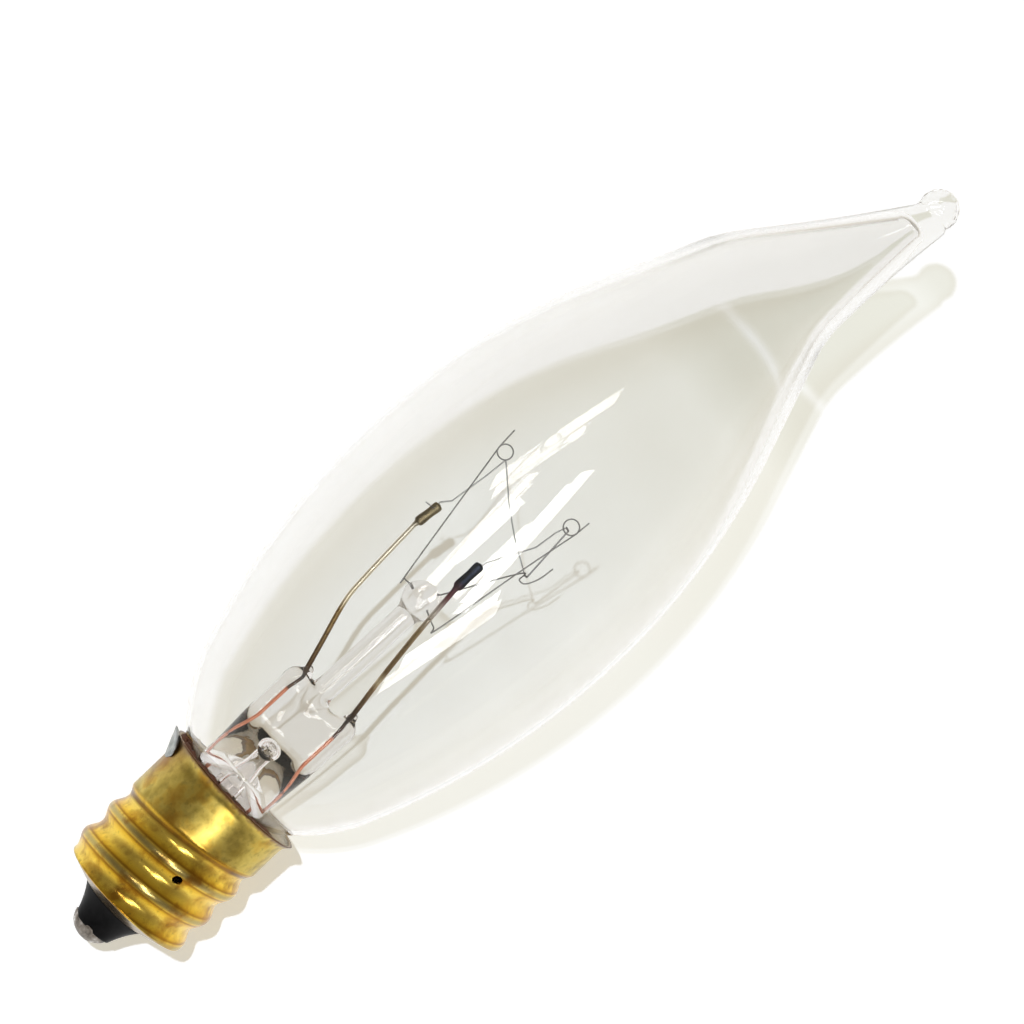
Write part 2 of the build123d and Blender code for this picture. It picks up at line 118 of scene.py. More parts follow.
# Roundings where the stem's parts melt into each other
PRESS_ROUND = 0.9
FOOT_ROUND = 0.3
FUNNEL_ROUND = 0.4
EXHAUST_ROUND = 0.7
BORE_ROUND = 0.2
BLOW_HOLE_ROUND = 0.1
NUB_ROUND = 0.5
ARBOR_ROUND = 0.9
BUTTON_ROUND = 0.5

# Cap sizes in millimetres, along from the contact's end to the rim
CAP_HEIGHT = 16.2454
CAP_SHIFT = 0.45
SHELL_BOTTOM = 3.5
SHELL_MOUTH_RADIUS = 3.0
SHELL_SLOPE = radians(20)
SHELL_CONE_RUN = 1.3
SHELL_WALL = 0.25
SHELL_ROUND = 0.25
THREAD_RADIUS = 5.875
THREAD_DEPTH = 0.52
THREAD_PITCH = 2.75
THREAD_START = 3.375
THREAD_SWAY = 0.185
SKIRT_RADIUS = 5.725
SKIRT_START = 12.0
SKIRT_SLANT = 0.85
SKIRT_BLEND = 0.55
SKIRT_FULL = 0.2
RIM_RADIUS = 6.2
RIM_FLARE_HEIGHT = 0.9
CEMENT_DEPTH = 3.2
CEMENT_TOP = 0.05
CEMENT_WORN_FROM = -0.2
CEMENT_STEPS = (-CEMENT_DEPTH, -1.2, -0.8, -0.5, -0.25, -0.05)
CEMENT_SHELL_GAP = 0.01
CEMENT_GLASS_GAP = 0.03
PINHOLE_RADIUS = 0.38
PINHOLE_HEIGHT = 9.1
PINHOLE_AZIMUTH = radians(112)
PINHOLE_REACH = (4.0, 7.0)
NOSE_RADIUS = 1.7
NOSE_BOTTOM = 1.1
NOSE_HOLLOW = 0.15
NOSE_RIPPLE = 0.03
NOSE_GAP = 0.02
PLUG_RADIUS = 4.9
PLUG_TOP = 8.166
PLUG_LIFT = 1.4 * SHELL_WALL
TIP_SOLDER_RADIUS = 1.7
TIP_SOLDER_HEIGHT = 1.3
TIP_SOLDER_OFFSET = 0.12
TIP_SOLDER_LIFT = 0.02
TIP_SOLDER_SWELL = 0.03
TIP_SOLDER_POLE_GAP = 0.05
TIP_SOLDER_SEAT_RADIUS = 0.9 * NOSE_RADIUS
TIP_SOLDER_SEAT = 0.08
RIM_SOLDER_AZIMUTH = radians(17)
RIM_SOLDER_BOTTOM = 14.35
RIM_SOLDER_TOP = 16.55
RIM_SOLDER_REACH = 6.85
RIM_SOLDER_HALF_WIDTH = 1.25
RIM_SOLDER_SKIN = 0.1
RIM_SOLDER_BITE = 0.2
RIM_SOLDER_OUTER_CURVE = 1.2
RIM_SOLDER_INNER_CURVE = 4
RIM_SOLDER_POINT = 0.003
RIM_SOLDER_FOOT = 0.4
RIM_SOLDER_GROWTH = 3
RIM_SOLDER_LUMPS = 0.07
RIM_SOLDER_SPOT = 0.6

# Waves round a ring, each with its size, lobes, twist on the way up and phase
BEAD_LUMPS = [(0.01, 5, 5, 0), (0.008, 9, -11, 1), (0.006, 14, 9, 2)]
TIP_SOLDER_LUMPS = [(0.015, 5, 4, 0), (0.01, 8, -6, 1)]
CEMENT_RAGGED = [(0.07, 11, 0, 0), (0.06, 23, 0, 1), (0.05, 37, 0, 2)]

# Rows and columns of the meshes
GLASS_COLUMNS = 256
NECK_ROWS = 40
FLANK_ROWS = 64
TIP_ROWS = 40
BEAD_ROWS = 26
HOLLOW_ROWS = 36
HOLLOW_END_ROWS = 12
STEM_STEP = 0.12
STEM_LOW = (-4.4, -4.4, -5.4)
STEM_HIGH = (4.4, 4.4, 22.4)
SHELL_COLUMNS = 240
SHELL_CONE_ROWS = 26
SHELL_THREAD_ROWS = 106
SHELL_MOUTH_ROWS = 4
PINHOLE_COLUMNS = 32
NOSE_COLUMNS = 96
NOSE_ROWS = 20
CEMENT_COLUMNS = 120
CEMENT_ROWS = 16
TIP_SOLDER_COLUMNS = 64
TIP_SOLDER_ROWS = 24
RIM_SOLDER_COLUMNS = 40
RIM_SOLDER_ROWS = 28
WIRE_COLUMNS = 16
WIRE_STEPS = 10
SUPPORT_COLUMNS = 8
SUPPORT_STEPS = 12
LOOP_STEPS = 36
TAIL_STEPS = 8
TAB_STEPS = 24
COIL_STEPS = 8
COIL_COLUMNS = 4

# Wires in millimetres, their routes across, up and along the bulb
LEAD_RADIUS = 0.205
LEAD_FOOT = (9.2, 10.4)
TAB_HALF_WIDTH = 0.39
TAB_HALF_THICKNESS = 0.2
TAB_START = -0.97
TAB_SQUARENESS = 16
TAB_END = 0.02
TAB_WOBBLE = 0.05
TAB_WOBBLE_TURN = 9
SEAL_WIRE_RADIUS = 0.1
SEAL_WIRE_BEND = 5.3
SUPPORT_RADIUS = 0.06
SUPPORT_LOOP_RADIUS = 0.62
SUPPORT_LOOP_LIFT = 0.12
COIL_RADIUS = 0.08
COIL_WIRE_RADIUS = 0.022
COIL_PITCH = 0.11
WIRE_GUIDE = (1, 0.12, 0.05)
LEFT_LEAD = [(2.5, 0, 8.25), (2.5, 0, 9.6), (3.3, 0, 12.2), (4.5, 0, 15.9), (4.86, 0, 18.6), (5.22, 0, 23.75)]
LEFT_TAB = [(5.2, 0, 24.0), (5.0, 0, 26.25)]
RIGHT_LEAD = [(-2.5, 0, 8.25), (-2.42, 0, 10.0), (-1.95, 0.7, 12.9), (-1.58, 1.5, 15.4), (-1.15, 2.5, 18.6),
              (-0.72, 3.5, 22.6)]
RIGHT_TAB = [(-0.68, 3.55, 22.9), (-0.66, 3.75, 25.5)]
SUPPORT_1 = [(1.25, -0.43, 20.3), (2.0, -1.2, 20.45), (2.72, -1.3, 20.4), (2.95, -1.32, 20.95),
             (5.35, -2.2, 32.6)]
SUPPORT_1_TAIL = (5.5, -2.05, 34.4)
SUPPORT_2 = [(-0.14, 0.43, 20.09), (-1.6, 1.35, 19.6), (-1.95, 1.5, 19.75), (-2.98, 2.05, 27.2),
             (-3.78, 2.4, 32.3)]
SUPPORT_2_TAIL = (-3.85, 2.55, 33.6)
SUPPORT_3 = [(0.21, -0.25, 20.96), (-2.95, -2.6, 27.15), (-3.3, -2.6, 26.8), (-3.85, -2.6, 26.95),
             (-4.3, -2.6, 28.0), (-4.45, -2.6, 29.3)]
FILAMENT = [(5.9, 0.25, 25.6), (5.1, 0.25, 25.7), (5.15, -0.1, 26.4), (4.65, -0.7, 27.1), (4.35, -1.7, 30.4),
            (4.25, -2.1, 32.3), (3.9, -2.5, 32.05), (1.57, -2.6, 30.2), (-0.74, -2.6, 28.7),
            (-3.35, -2.9, 27.35), (-3.55, -2.3, 27.4), (-3.2, 2.0, 32.05), (-2.95, 2.75, 32.1),
            (-2.68, 3.0, 31.2), (-2.5, 3.3, 29.4), (-0.85, 3.75, 25.9), (-0.7, 3.75, 25.0)]


# Placing

screw_base = frame["record"]["mounts"][0]
cap_axis = -Vector(screw_base["axis"])
contact = Vector(screw_base["pos_m"])
tilt = atan2(cap_axis.z, cap_axis.x)
lean = asin(cap_axis.y)
across = Vector((0, 1, 0))
up = Vector((-sin(tilt), 0, cos(tilt)))
along = Vector((cos(tilt), 0, sin(tilt)))
cap_across = across * cos(lean) - along * sin(lean)
bulb_origin = contact + cap_axis * CAP_HEIGHT * MM + across * CAP_SHIFT * MM


def seat(origin, x_axis, y_axis, z_axis):
    """Takes millimetres along three axes to the frame's metres."""
    turned = Matrix((x_axis, y_axis, z_axis)).transposed() * MM
    return np.array(Matrix.Translation(origin) @ turned.to_4x4())


BULB_SEAT = seat(bulb_origin, across, up, along)
CAP_SEAT = seat(contact, cap_across, up, cap_axis)


def placed(points, place):
    return np.asarray(points) @ place[:3, :3].T + place[:3, 3]


def new_object(name, data):
    made = bpy.data.objects.new(name, data)
    scene.collection.objects.link(made)
    return made


def add_piece(name, points, faces, place, material, slot, *nodes):
    mesh = bpy.data.meshes.new(name)
    mesh.from_pydata(placed(points, place).tolist(), [], faces)
    mesh.materials.append(material)
    mesh.shade_smooth()
    piece = new_object(name, mesh)
    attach(piece, "root")
    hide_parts(*nodes)
    return piece


def strip_faces(rows, columns):
    """Quads of a grid of points that closes on itself round each row."""
    row, column = np.meshgrid(np.arange(rows - 1), np.arange(columns), indexing="ij")
    after = (column + 1) % columns
    low = row * columns
    high = low + columns
    return np.stack([low + column, low + after, high + after, high + column], axis=-1).reshape(-1, 4).tolist()


def closed_faces(rows, columns):
    """Quads of such a grid, with a face over its first and its last row."""
    last = (rows - 1) * columns
    return [*strip_faces(rows, columns), list(range(columns))[::-1], list(range(last, last + columns))]


def loop_faces(rows, columns):
    """Quads of such a grid, its last row joined to its first."""
    faces = strip_faces(rows, columns)
    last = (rows - 1) * columns
    for k in range(columns):
        after = (k + 1) % columns
        faces.append([last + k, last + after, after, k])
    return faces


def add_rings(name, rings, faces_of, place, material, slot, node):
    """Piece over rings of points, its faces laid by their rows and columns."""
    faces = faces_of(len(rings), len(rings[0]))
    return add_piece(name, np.concatenate(rings), faces, place, material, slot, node)


def turns_of(columns):
    return np.linspace(0, 2 * pi, columns, endpoint=False)


def lumps_round(waves, turn, climb=0):
    return sum(size * np.sin(lobes * turn + twist * climb + phase) for size, lobes, twist, phase in waves)


def smooth_step(low, high, value):
    share = np.clip((value - low) / (high - low), 0, 1)
    return share * share * (3 - 2 * share)


def smooth_union(one, other, blend):
    """Two shapes as one, the corner between them filled."""
    share = np.clip(0.5 + 0.5 * (other - one) / blend, 0, 1)
    return other + (one - other) * share - blend * share * (1 - share)


# Material helpers

NOISE_SPAN = (0.3, 0.7)


def make(tree, kind, inputs=(), **settings):
    made = tree.nodes.new("ShaderNode" + kind)
    for name, value in settings.items():
        setattr(made, name, value)
    for name, value in dict(inputs).items():
        if isinstance(value, bpy.types.NodeSocket):
            tree.links.new(value, made.inputs[name])
        else:
            made.inputs[name].default_value = value
    return made


def new_tree(name):
    material = bpy.data.materials.new(name)
    material.use_nodes = True
    material.node_tree.nodes.clear()
    return material, material.node_tree


def calc(tree, operation, one, other=0.0):
    return make(tree, "Math", {0: one, 1: other}, operation=operation).outputs["Value"]


def any_ray(tree, rays, *kinds):
    """1 for a ray of any of these kinds, else 0."""
    found = rays.outputs[kinds[0]]
    for kind in kinds[1:]:
        found = calc(tree, "MAXIMUM", found, rays.outputs[kind])
    return found


def ramp(tree, share, stops):
    """Colours at shares from 0 to 1."""
    made = make(tree, "ValToRGB", {"Fac": share})
    marks = made.color_ramp.elements
    while len(marks) < len(stops):
        marks.new(0.5)
    for mark, (place, colour) in zip(marks, stops):
        mark.position = place
        mark.color = (*colour, 1)
    return made.outputs["Color"]


def mix(tree, share, one, other, blend="MIX"):
    """One colour where the share is 0, the other, or their blend, where it is 1."""
    colours = [value if isinstance(value, bpy.types.NodeSocket) else (*value, 1) for value in (one, other)]
    inputs = {0: share, 6: colours[0], 7: colours[1]}
    return make(tree, "Mix", inputs, data_type="RGBA", blend_type=blend).outputs[2]


def noise(tree, per_mm, detail=4):
    spot = make(tree, "TexCoord").outputs["Object"]
    return make(tree, "TexNoise", {"Vector": spot, "Scale": per_mm / MM, "Detail": detail}).outputs["Fac"]


def run_on(tree, origin, axis):
    """Millimetres along an axis from an origin."""
    spot = make(tree, "TexCoord").outputs["Object"]
    run = make(tree, "VectorMath", {0: spot, 1: axis / MM}, operation="DOT_PRODUCT").outputs["Value"]
    return calc(tree, "ADD", run, -origin.dot(axis) / MM)


def along_bulb(low, high):
    return lambda tree: spread(tree, run_on(tree, bulb_origin, along), low, high)


def spread(tree, value, low, high, start=0.0, end=1.0):
    return make(tree, "MapRange", {"Value": value, "From Min": low, "From Max": high,
                                   "To Min": start, "To Max": end}).outputs["Result"]


def stain(tree, colour, value, span, strength, tint):
    """A colour with a tint over it, from none to a strength as a value crosses a span."""
    return mix(tree, spread(tree, value, *span, 0, strength), colour, tint)


def metal(name, stops, share=None, roughness=(0.2, 0.35), per_mm=1.5, bump=0.2, bump_mm=0.02,
          metallic=1.0, sheen=0.5):
    """Metal, or with no metallic part a dull solid, whose colour follows a share, or else a noise."""
    material, tree = new_tree(name)
    grain = noise(tree, per_mm)
    colour = ramp(tree, share(tree) if share else spread(tree, grain, *NOISE_SPAN), stops)
    bumps = make(tree, "Bump", {"Height": grain, "Strength": bump, "Distance": bump_mm * MM})
    surface = make(tree, "BsdfPrincipled", {
        "Base Color": colour, "Metallic": metallic, "Specular IOR Level": sheen,
        "Normal": bumps.outputs["Normal"], "Roughness": spread(tree, grain, *NOISE_SPAN, *roughness)})
    make(tree, "OutputMaterial", {"Surface": surface.outputs["BSDF"]})
    return material


# Glass looks, the slants from 0 where a surface faces the eye to 1 where it is met edge on
EDGE_SLANT = (0.7, 1.0)
SHADE_SLANT = (0.15, 0.5)
# Painted shade: where and how dark a line is laid into the glass colour at a slanted edge
LINE_SLANT = (0.62, 0.8)
PAINTED_LINE_SHADE = (0.07, 0.06, 0.03)
MIRRORED_TINT = (0.97, 0.965, 0.96)
TINT_DIP = 0.99
SHADE_DIP = 0.985
SHADE_LIFT = 1.015
TIP_DIMMING_SPAN = (30, 72)
TIP_DULL = (0.835, 0.855, 0.84)
TIP_LINE_SPAN = (48, 72)


def scaled(colour, share):
    return [part * share for part in colour]


def glass(name, index, tint, painted_edge_tint, shade, edge_shade, per_mm, bump_mm, dim=None, line=None):
    """Clear glass, gently uneven, that bends what is seen through it and lets light and mirrored rays by.

    The shades say how much of a lamp's light passes a surface, the tints what the eye sees through it, and
    both change where the surface is met at a slant, where the tint becomes a painted edge shade and a painted
    dark line may be laid over it.
    """
    material, tree = new_tree(name)
    waves = noise(tree, per_mm, 1)
    bumps = make(tree, "Bump", {"Height": waves, "Strength": 1.0, "Distance": bump_mm * MM})
    slant = make(tree, "LayerWeight", {"Blend": 0.5}).outputs["Facing"]
    face = ramp(tree, waves, [(NOISE_SPAN[0], scaled(tint, TINT_DIP)), (NOISE_SPAN[1], tint)])
    # Painted edge shade: the tint turns warmer and darker where the surface is met at a slant
    face = mix(tree, spread(tree, slant, *EDGE_SLANT), face, painted_edge_tint)
    if line:
        # Painted shade: a dark line over the colour where the surface is met at a slant
        painted_line_share = calc(tree, "MULTIPLY", spread(tree, slant, *LINE_SLANT), line(tree))
        face = mix(tree, painted_line_share, face, PAINTED_LINE_SHADE)
    clear = make(tree, "BsdfPrincipled", {
        "Base Color": face, "Transmission Weight": 1.0, "IOR": index, "Roughness": 0.0,
        "Normal": bumps.outputs["Normal"]})
    let_in = ramp(tree, waves, [(NOISE_SPAN[0], scaled(shade, SHADE_DIP)),
                                (NOISE_SPAN[1], scaled(shade, SHADE_LIFT))])
    let_in = mix(tree, spread(tree, slant, *SHADE_SLANT), let_in, edge_shade)
    if dim:
        let_in = mix(tree, 1.0, let_in, dim(tree), "MULTIPLY")
    rays = make(tree, "LightPath")
    let_in = mix(tree, rays.outputs["Is Reflection Ray"], let_in, MIRRORED_TINT)
    through = make(tree, "BsdfTransparent", {"Color": let_in})
    let_by = any_ray(tree, rays, "Is Shadow Ray", "Is Diffuse Ray", "Is Reflection Ray")
    mixed = make(tree, "MixShader", {0: let_by, 1: clear.outputs["BSDF"], 2: through.outputs["BSDF"]})
    make(tree, "OutputMaterial", {"Surface": mixed.outputs["Shader"]})
    return material


def tip_dimming_with_painted_caustic(tree):
    """What a surface takes from a lamp's light on the way to the tip, with a painted caustic at the bend: a
    ring that lets more light through, so a bright stripe crosses the shadow.
    """
    plain = (1, 1, 1)
    return ramp(tree, along_bulb(*TIP_DIMMING_SPAN)(tree), [
        (0.0, (1.035, 1.035, 1.05)), (0.33, plain), (0.45, plain), (0.56, TIP_DULL), (0.596, TIP_DULL),
        (0.611, (1.04, 1.04, 1.07)), (0.627, TIP_DULL), (0.9, TIP_DULL), (0.95, [c * c for c in TIP_DULL])])


def tip_painted_line_strength(tree):
    """Strength of the painted dark line, a painted shade that edges the tip, strongest at the bend and beside
    the bead.
    """
    strengths = [(0.12, 0), (0.3, 0.8), (0.36, 0.25), (0.6, 0.5), (0.84, 0.9), (0.9, 0)]
    return ramp(tree, along_bulb(*TIP_LINE_SPAN)(tree), [(place, (value,) * 3) for place, value in strengths])


clear_glass = glass("clear_glass", index=1.5, tint=(0.945, 0.941, 0.927), painted_edge_tint=(0.82, 0.77, 0.7),
                    shade=(0.932, 0.944, 0.922), edge_shade=(0.84, 0.845, 0.81), per_mm=0.15, bump_mm=0.006,
                    dim=tip_dimming_with_painted_caustic, line=tip_painted_line_strength)
stem_glass = glass("stem_glass", index=1.45, tint=(0.965, 0.95, 0.955), painted_edge_tint=(0.9, 0.88, 0.86),
                   shade=(0.9, 0.89, 0.87), edge_shade=(0.6, 0.58, 0.55), per_mm=0.8, bump_mm=0.015)


# Brass looks
THREAD_STOPS = [(0.0, (0.84, 0.6, 0.11)), (0.3, (0.88, 0.6, 0.07)), (0.6, (0.76, 0.46, 0.035)),
                (0.8, (0.36, 0.17, 0.012)), (0.9, (0.74, 0.5, 0.08)), (1.0, (0.46, 0.36, 0.13))]
SKIRT_STOPS = [(0.3, (0.36, 0.26, 0.05)), (0.48, (0.6, 0.46, 0.11)), (0.56, (0.62, 0.45, 0.09)),
               (0.72, (0.4, 0.25, 0.04))]
STREAK_BROWN = (0.3, 0.12, 0.01)
MOTTLE_OLIVE = (0.26, 0.19, 0.045)
# Painted shade in the crease where the thread meets the skirt
PAINTED_CREASE_SHADE = (0.14, 0.06, 0.01)
BLOTCH_ORANGE = (0.52, 0.24, 0.02)
SPECK_BROWN = (0.2, 0.13, 0.03)
SOLDERED_RED = (0.22, 0.085, 0.025)
RIM_DARK = (0.13, 0.065, 0.025)
RIM_INSIDE = (0.3, 0.19, 0.07)
MOUTH_BROWN = (0.14, 0.08, 0.02)
SKIRT_CHANGE = (SKIRT_START - 0.35, SKIRT_START + 0.1)
CREASE_HEIGHT = SKIRT_START - 0.55
RIM_CHANGE = (CAP_HEIGHT - 0.05, CAP_HEIGHT + 0.2)
RIM_INSIDE_CHANGE = (RIM_RADIUS - 0.1, RIM_RADIUS - 0.22)
MOUTH_CHANGE = (4.95, 4.6)
BRASS_ROUGHNESS = (0.19, 0.27)
SKIRT_ROUGHER = 0.1


def rim_solder_spot():
    """Place of the solder on the rim, in the frame's metres."""
    side = cap_across * cos(RIM_SOLDER_AZIMUTH) + up * sin(RIM_SOLDER_AZIMUTH)
    return contact + (cap_axis * (CAP_HEIGHT - RIM_SOLDER_SPOT) + side * RIM_RADIUS) * MM


def brass_finish():
    """Rolled brass: gold flanks, dull crests with a dark brown band beside each, painted shade in the crease
    under the skirt, a duller skirt and a tarnished rim.
    """
    material, tree = new_tree("brass")
    height = run_on(tree, contact, cap_axis)
    upward = run_on(tree, contact, up)
    sideward = run_on(tree, contact, cap_across)
    turn = calc(tree, "ARCTAN2", upward, sideward)
    side = calc(tree, "COSINE", turn)
    climb = calc(tree, "ADD", calc(tree, "MULTIPLY", side, THREAD_SWAY), -THREAD_START)
    climb = calc(tree, "DIVIDE", calc(tree, "ADD", height, climb), THREAD_PITCH)
    climb = calc(tree, "SUBTRACT", climb, calc(tree, "DIVIDE", turn, 2 * pi))
    crest = spread(tree, calc(tree, "COSINE", calc(tree, "MULTIPLY", climb, 2 * pi)), -1, 1)
    skirt_edge = calc(tree, "ADD", height, calc(tree, "MULTIPLY", side, SKIRT_SLANT))
    skirt = spread(tree, skirt_edge, *SKIRT_CHANGE)
    blotches = noise(tree, 0.45, 5)
    grain = noise(tree, 2.5, 5)

    threads = ramp(tree, crest, THREAD_STOPS)
    threads = stain(tree, threads, noise(tree, 0.55, 5), (0.5, 0.66), 0.85, STREAK_BROWN)
    plain = ramp(tree, blotches, SKIRT_STOPS)
    plain = stain(tree, plain, noise(tree, 1.4, 6), (0.48, 0.66), 0.55, MOTTLE_OLIVE)
    colour = mix(tree, skirt, threads, plain)
    # Painted shade: dark brown laid along the crease under the skirt
    painted_crease_gap = calc(tree, "ABSOLUTE", calc(tree, "SUBTRACT", skirt_edge, CREASE_HEIGHT))
    colour = stain(tree, colour, painted_crease_gap, (0.34, 0.1), 0.9, PAINTED_CREASE_SHADE)
    colour = stain(tree, colour, blotches, (0.52, 0.75), 0.6, BLOTCH_ORANGE)
    colour = stain(tree, colour, grain, (0.62, 0.75), 0.5, SPECK_BROWN)
    spot = make(tree, "TexCoord").outputs["Object"]
    solder_gap = make(tree, "VectorMath", {0: spot, 1: rim_solder_spot()}, operation="DISTANCE")
    solder_gap = calc(tree, "DIVIDE", solder_gap.outputs["Value"], MM)
    ragged = calc(tree, "ADD", solder_gap, calc(tree, "MULTIPLY", grain, 2.0))
    colour = stain(tree, colour, ragged, (5.0, 2.0), 0.8, SOLDERED_RED)
    edge = calc(tree, "ADD", height, calc(tree, "MULTIPLY", grain, 0.7))
    reach = calc(tree, "ADD", calc(tree, "POWER", upward, 2), calc(tree, "POWER", sideward, 2))
    reach = calc(tree, "SQRT", reach)
    rim = mix(tree, spread(tree, reach, *RIM_INSIDE_CHANGE), RIM_DARK, RIM_INSIDE)
    colour = mix(tree, spread(tree, edge, *RIM_CHANGE), colour, rim)
    colour = stain(tree, colour, edge, MOUTH_CHANGE, 0.8, MOUTH_BROWN)

    bumps = make(tree, "Bump", {"Height": grain, "Strength": 0.12, "Distance": 0.02 * MM})
    dents = make(tree, "Bump", {"Height": blotches, "Strength": 0.35, "Distance": 0.05 * MM,
                                "Normal": bumps.outputs["Normal"]})
    rough = calc(tree, "ADD", spread(tree, grain, *NOISE_SPAN, *BRASS_ROUGHNESS),
                 calc(tree, "MULTIPLY", skirt, SKIRT_ROUGHER))
    surface = make(tree, "BsdfPrincipled", {"Base Color": colour, "Metallic": 1.0, "Roughness": rough,
                                            "Normal": dents.outputs["Normal"]})
    make(tree, "OutputMaterial", {"Surface": surface.outputs["BSDF"]})
    return material


# Other materials
LEAD_SPAN = (8, 26.3)
LEFT_NICKEL_STOPS = [
    (0.0, (0.2, 0.12, 0.09)), (0.08, (0.1, 0.09, 0.09)), (0.14, (0.09, 0.05, 0.025)),
    (0.39, (0.26, 0.17, 0.07)), (0.45, (0.74, 0.66, 0.5)), (0.85, (0.78, 0.73, 0.63)),
    (0.88, (0.16, 0.13, 0.08)), (1.0, (0.24, 0.2, 0.12))]
RIGHT_NICKEL_STOPS = [
    (0.0, (0.2, 0.11, 0.08)), (0.08, (0.08, 0.07, 0.07)), (0.14, (0.07, 0.045, 0.03)),
    (0.27, (0.26, 0.17, 0.09)), (0.31, (0.6, 0.5, 0.33)), (0.36, (0.2, 0.13, 0.065)),
    (0.58, (0.3, 0.22, 0.12)), (0.68, (0.55, 0.5, 0.46)), (0.76, (0.16, 0.06, 0.07)),
    (0.85, (0.015, 0.02, 0.035)), (1.0, (0.04, 0.05, 0.08))]
# Cement colours: dark brown along the upper rim, and pale ones that are painted light on the lower side,
# where the cement sits in shade
CEMENT_STOPS = [(0.0, (0.92, 0.84, 0.68)), (0.45, (0.8, 0.68, 0.45)), (0.7, (0.17, 0.08, 0.035)),
                (1.0, (0.13, 0.05, 0.025))]
CEMENT_LEAN = 0.5
CEMENT_DARK_SPAN = (-3, 3.2)
CEMENT_RIM_SPAN = (CAP_HEIGHT - 0.9, CAP_HEIGHT - 0.3)


def cement_painted_light_share(tree):
    """Dark brown cement along the upper rim, pale elsewhere and down inside the cap; the pale lower side is
    painted light where the cement sits in shade.
    """
    upper = spread(tree, run_on(tree, contact, up + cap_across * CEMENT_LEAN), *CEMENT_DARK_SPAN)
    return calc(tree, "MINIMUM", upper, spread(tree, run_on(tree, contact, cap_axis), *CEMENT_RIM_SPAN))


brass = brass_finish()
eyelet_brass = metal("eyelet_brass", [(0.0, (0.3, 0.25, 0.18)), (1.0, (0.6, 0.55, 0.45))])
solder = metal("solder", [(0.0, (0.06, 0.05, 0.04)), (0.5, (0.3, 0.26, 0.22)), (0.8, (0.5, 0.46, 0.42)),
                          (1.0, (0.85, 0.83, 0.8))],
               roughness=(0.3, 0.6), per_mm=1.5, bump=0.6, bump_mm=0.12, metallic=0.6)
grey_solder = metal("grey_solder", [(0.0, (0.26, 0.28, 0.26)), (0.6, (0.55, 0.57, 0.54)),
                                    (1.0, (0.72, 0.73, 0.7))],
                    roughness=(0.4, 0.6), per_mm=1.2, bump=0.6, bump_mm=0.1, metallic=0.45)
black_glass = metal("black_glass", [(0.0, (0.004, 0.004, 0.004)), (1.0, (0.012, 0.011, 0.011))],
                    roughness=(0.3, 0.5), per_mm=0.9, bump=0.4, bump_mm=0.04, metallic=0.0, sheen=0.05)
copper_clad = metal("copper_clad", [(0.0, (0.66, 0.2, 0.11)), (1.0, (0.92, 0.42, 0.27))],
                    roughness=(0.3, 0.5))
left_nickel = metal("left_nickel", LEFT_NICKEL_STOPS, share=along_bulb(*LEAD_SPAN), roughness=(0.25, 0.45),
                    bump=0.5, bump_mm=0.05)
right_nickel = metal("right_nickel", RIGHT_NICKEL_STOPS, share=along_bulb(*LEAD_SPAN), roughness=(0.25, 0.45),
                     per_mm=2.5, bump=0.8, bump_mm=0.08)
molybdenum = metal("molybdenum", [(0.0, (0.22, 0.22, 0.22)), (1.0, (0.42, 0.42, 0.42))],
                   roughness=(0.35, 0.5))
tungsten = metal("tungsten", [(0.0, (0.16, 0.16, 0.17)), (1.0, (0.32, 0.31, 0.32))], roughness=(0.35, 0.5))
cement = metal("cement", CEMENT_STOPS, share=cement_painted_light_share, roughness=(0.8, 0.95), per_mm=3, bump=0.8,
               bump_mm=0.1, metallic=0.0)


# Bulb glass

lower_angle = asin((BELLY_HEIGHT - LOWER_FLANK_START) / LOWER_FLANK_RADIUS)
upper_angle = asin((UPPER_FLANK_END - BELLY_HEIGHT) / UPPER_FLANK_RADIUS)
cone_slope = tan(upper_angle)
bend_rise = BEND_RADIUS * sin(BEND_ANGLE)
glass_turns = turns_of(GLASS_COLUMNS)


def curve_between(low, high, value):
    """Smooth radius between two (height, radius, slope) ends."""
    run = high[0] - low[0]
    t = (value - low[0]) / run
    return ((1 + 2 * t) * (1 - t) ** 2 * low[1] + t * (1 - t) ** 2 * run * low[2]
            + t * t * (3 - 2 * t) * high[1] - t * t * (1 - t) * run * high[2])


def flank_radius(height, neck_wall, wall):
    """Radius of the glass up to the bend, less a wall for its inside."""
    lower_radius = LOWER_FLANK_RADIUS - wall
    upper_radius = UPPER_FLANK_RADIUS - wall
    flank_start = BELLY_HEIGHT - lower_radius * sin(lower_angle)
    cone_start = BELLY_HEIGHT + upper_radius * sin(upper_angle)
    shoulder = (SHOULDER_HEIGHT, SHOULDER_RADIUS - (neck_wall + wall) / 2, SHOULDER_SLOPE)
    if height < -NECK_TOP_DEPTH:
        return NECK_RADIUS - neck_wall
    if height < SHOULDER_HEIGHT:
        return curve_between((-NECK_TOP_DEPTH, NECK_RADIUS - neck_wall, 0), shoulder, height)
    if height < flank_start:
        start_radius = BELLY_RADIUS - LOWER_FLANK_RADIUS + lower_radius * cos(lower_angle)
        return curve_between(shoulder, (flank_start, start_radius, tan(lower_angle)), height)
    if height < BELLY_HEIGHT:
        return BELLY_RADIUS - LOWER_FLANK_RADIUS + sqrt(lower_radius ** 2 - (height - BELLY_HEIGHT) ** 2)
    if height < cone_start:
        return BELLY_RADIUS - UPPER_FLANK_RADIUS + sqrt(upper_radius ** 2 - (height - BELLY_HEIGHT) ** 2)
    start_radius = BELLY_RADIUS - UPPER_FLANK_RADIUS + upper_radius * cos(upper_angle)
    return start_radius - (height - cone_start) * cone_slope


def tip_middle(rise):
    """Across place of the tip's middle, a rise over the bend's start."""
    turned = min(rise, bend_rise)
    return sqrt(BEND_RADIUS ** 2 - turned ** 2) - BEND_RADIUS - (rise - turned) * tan(BEND_ANGLE)


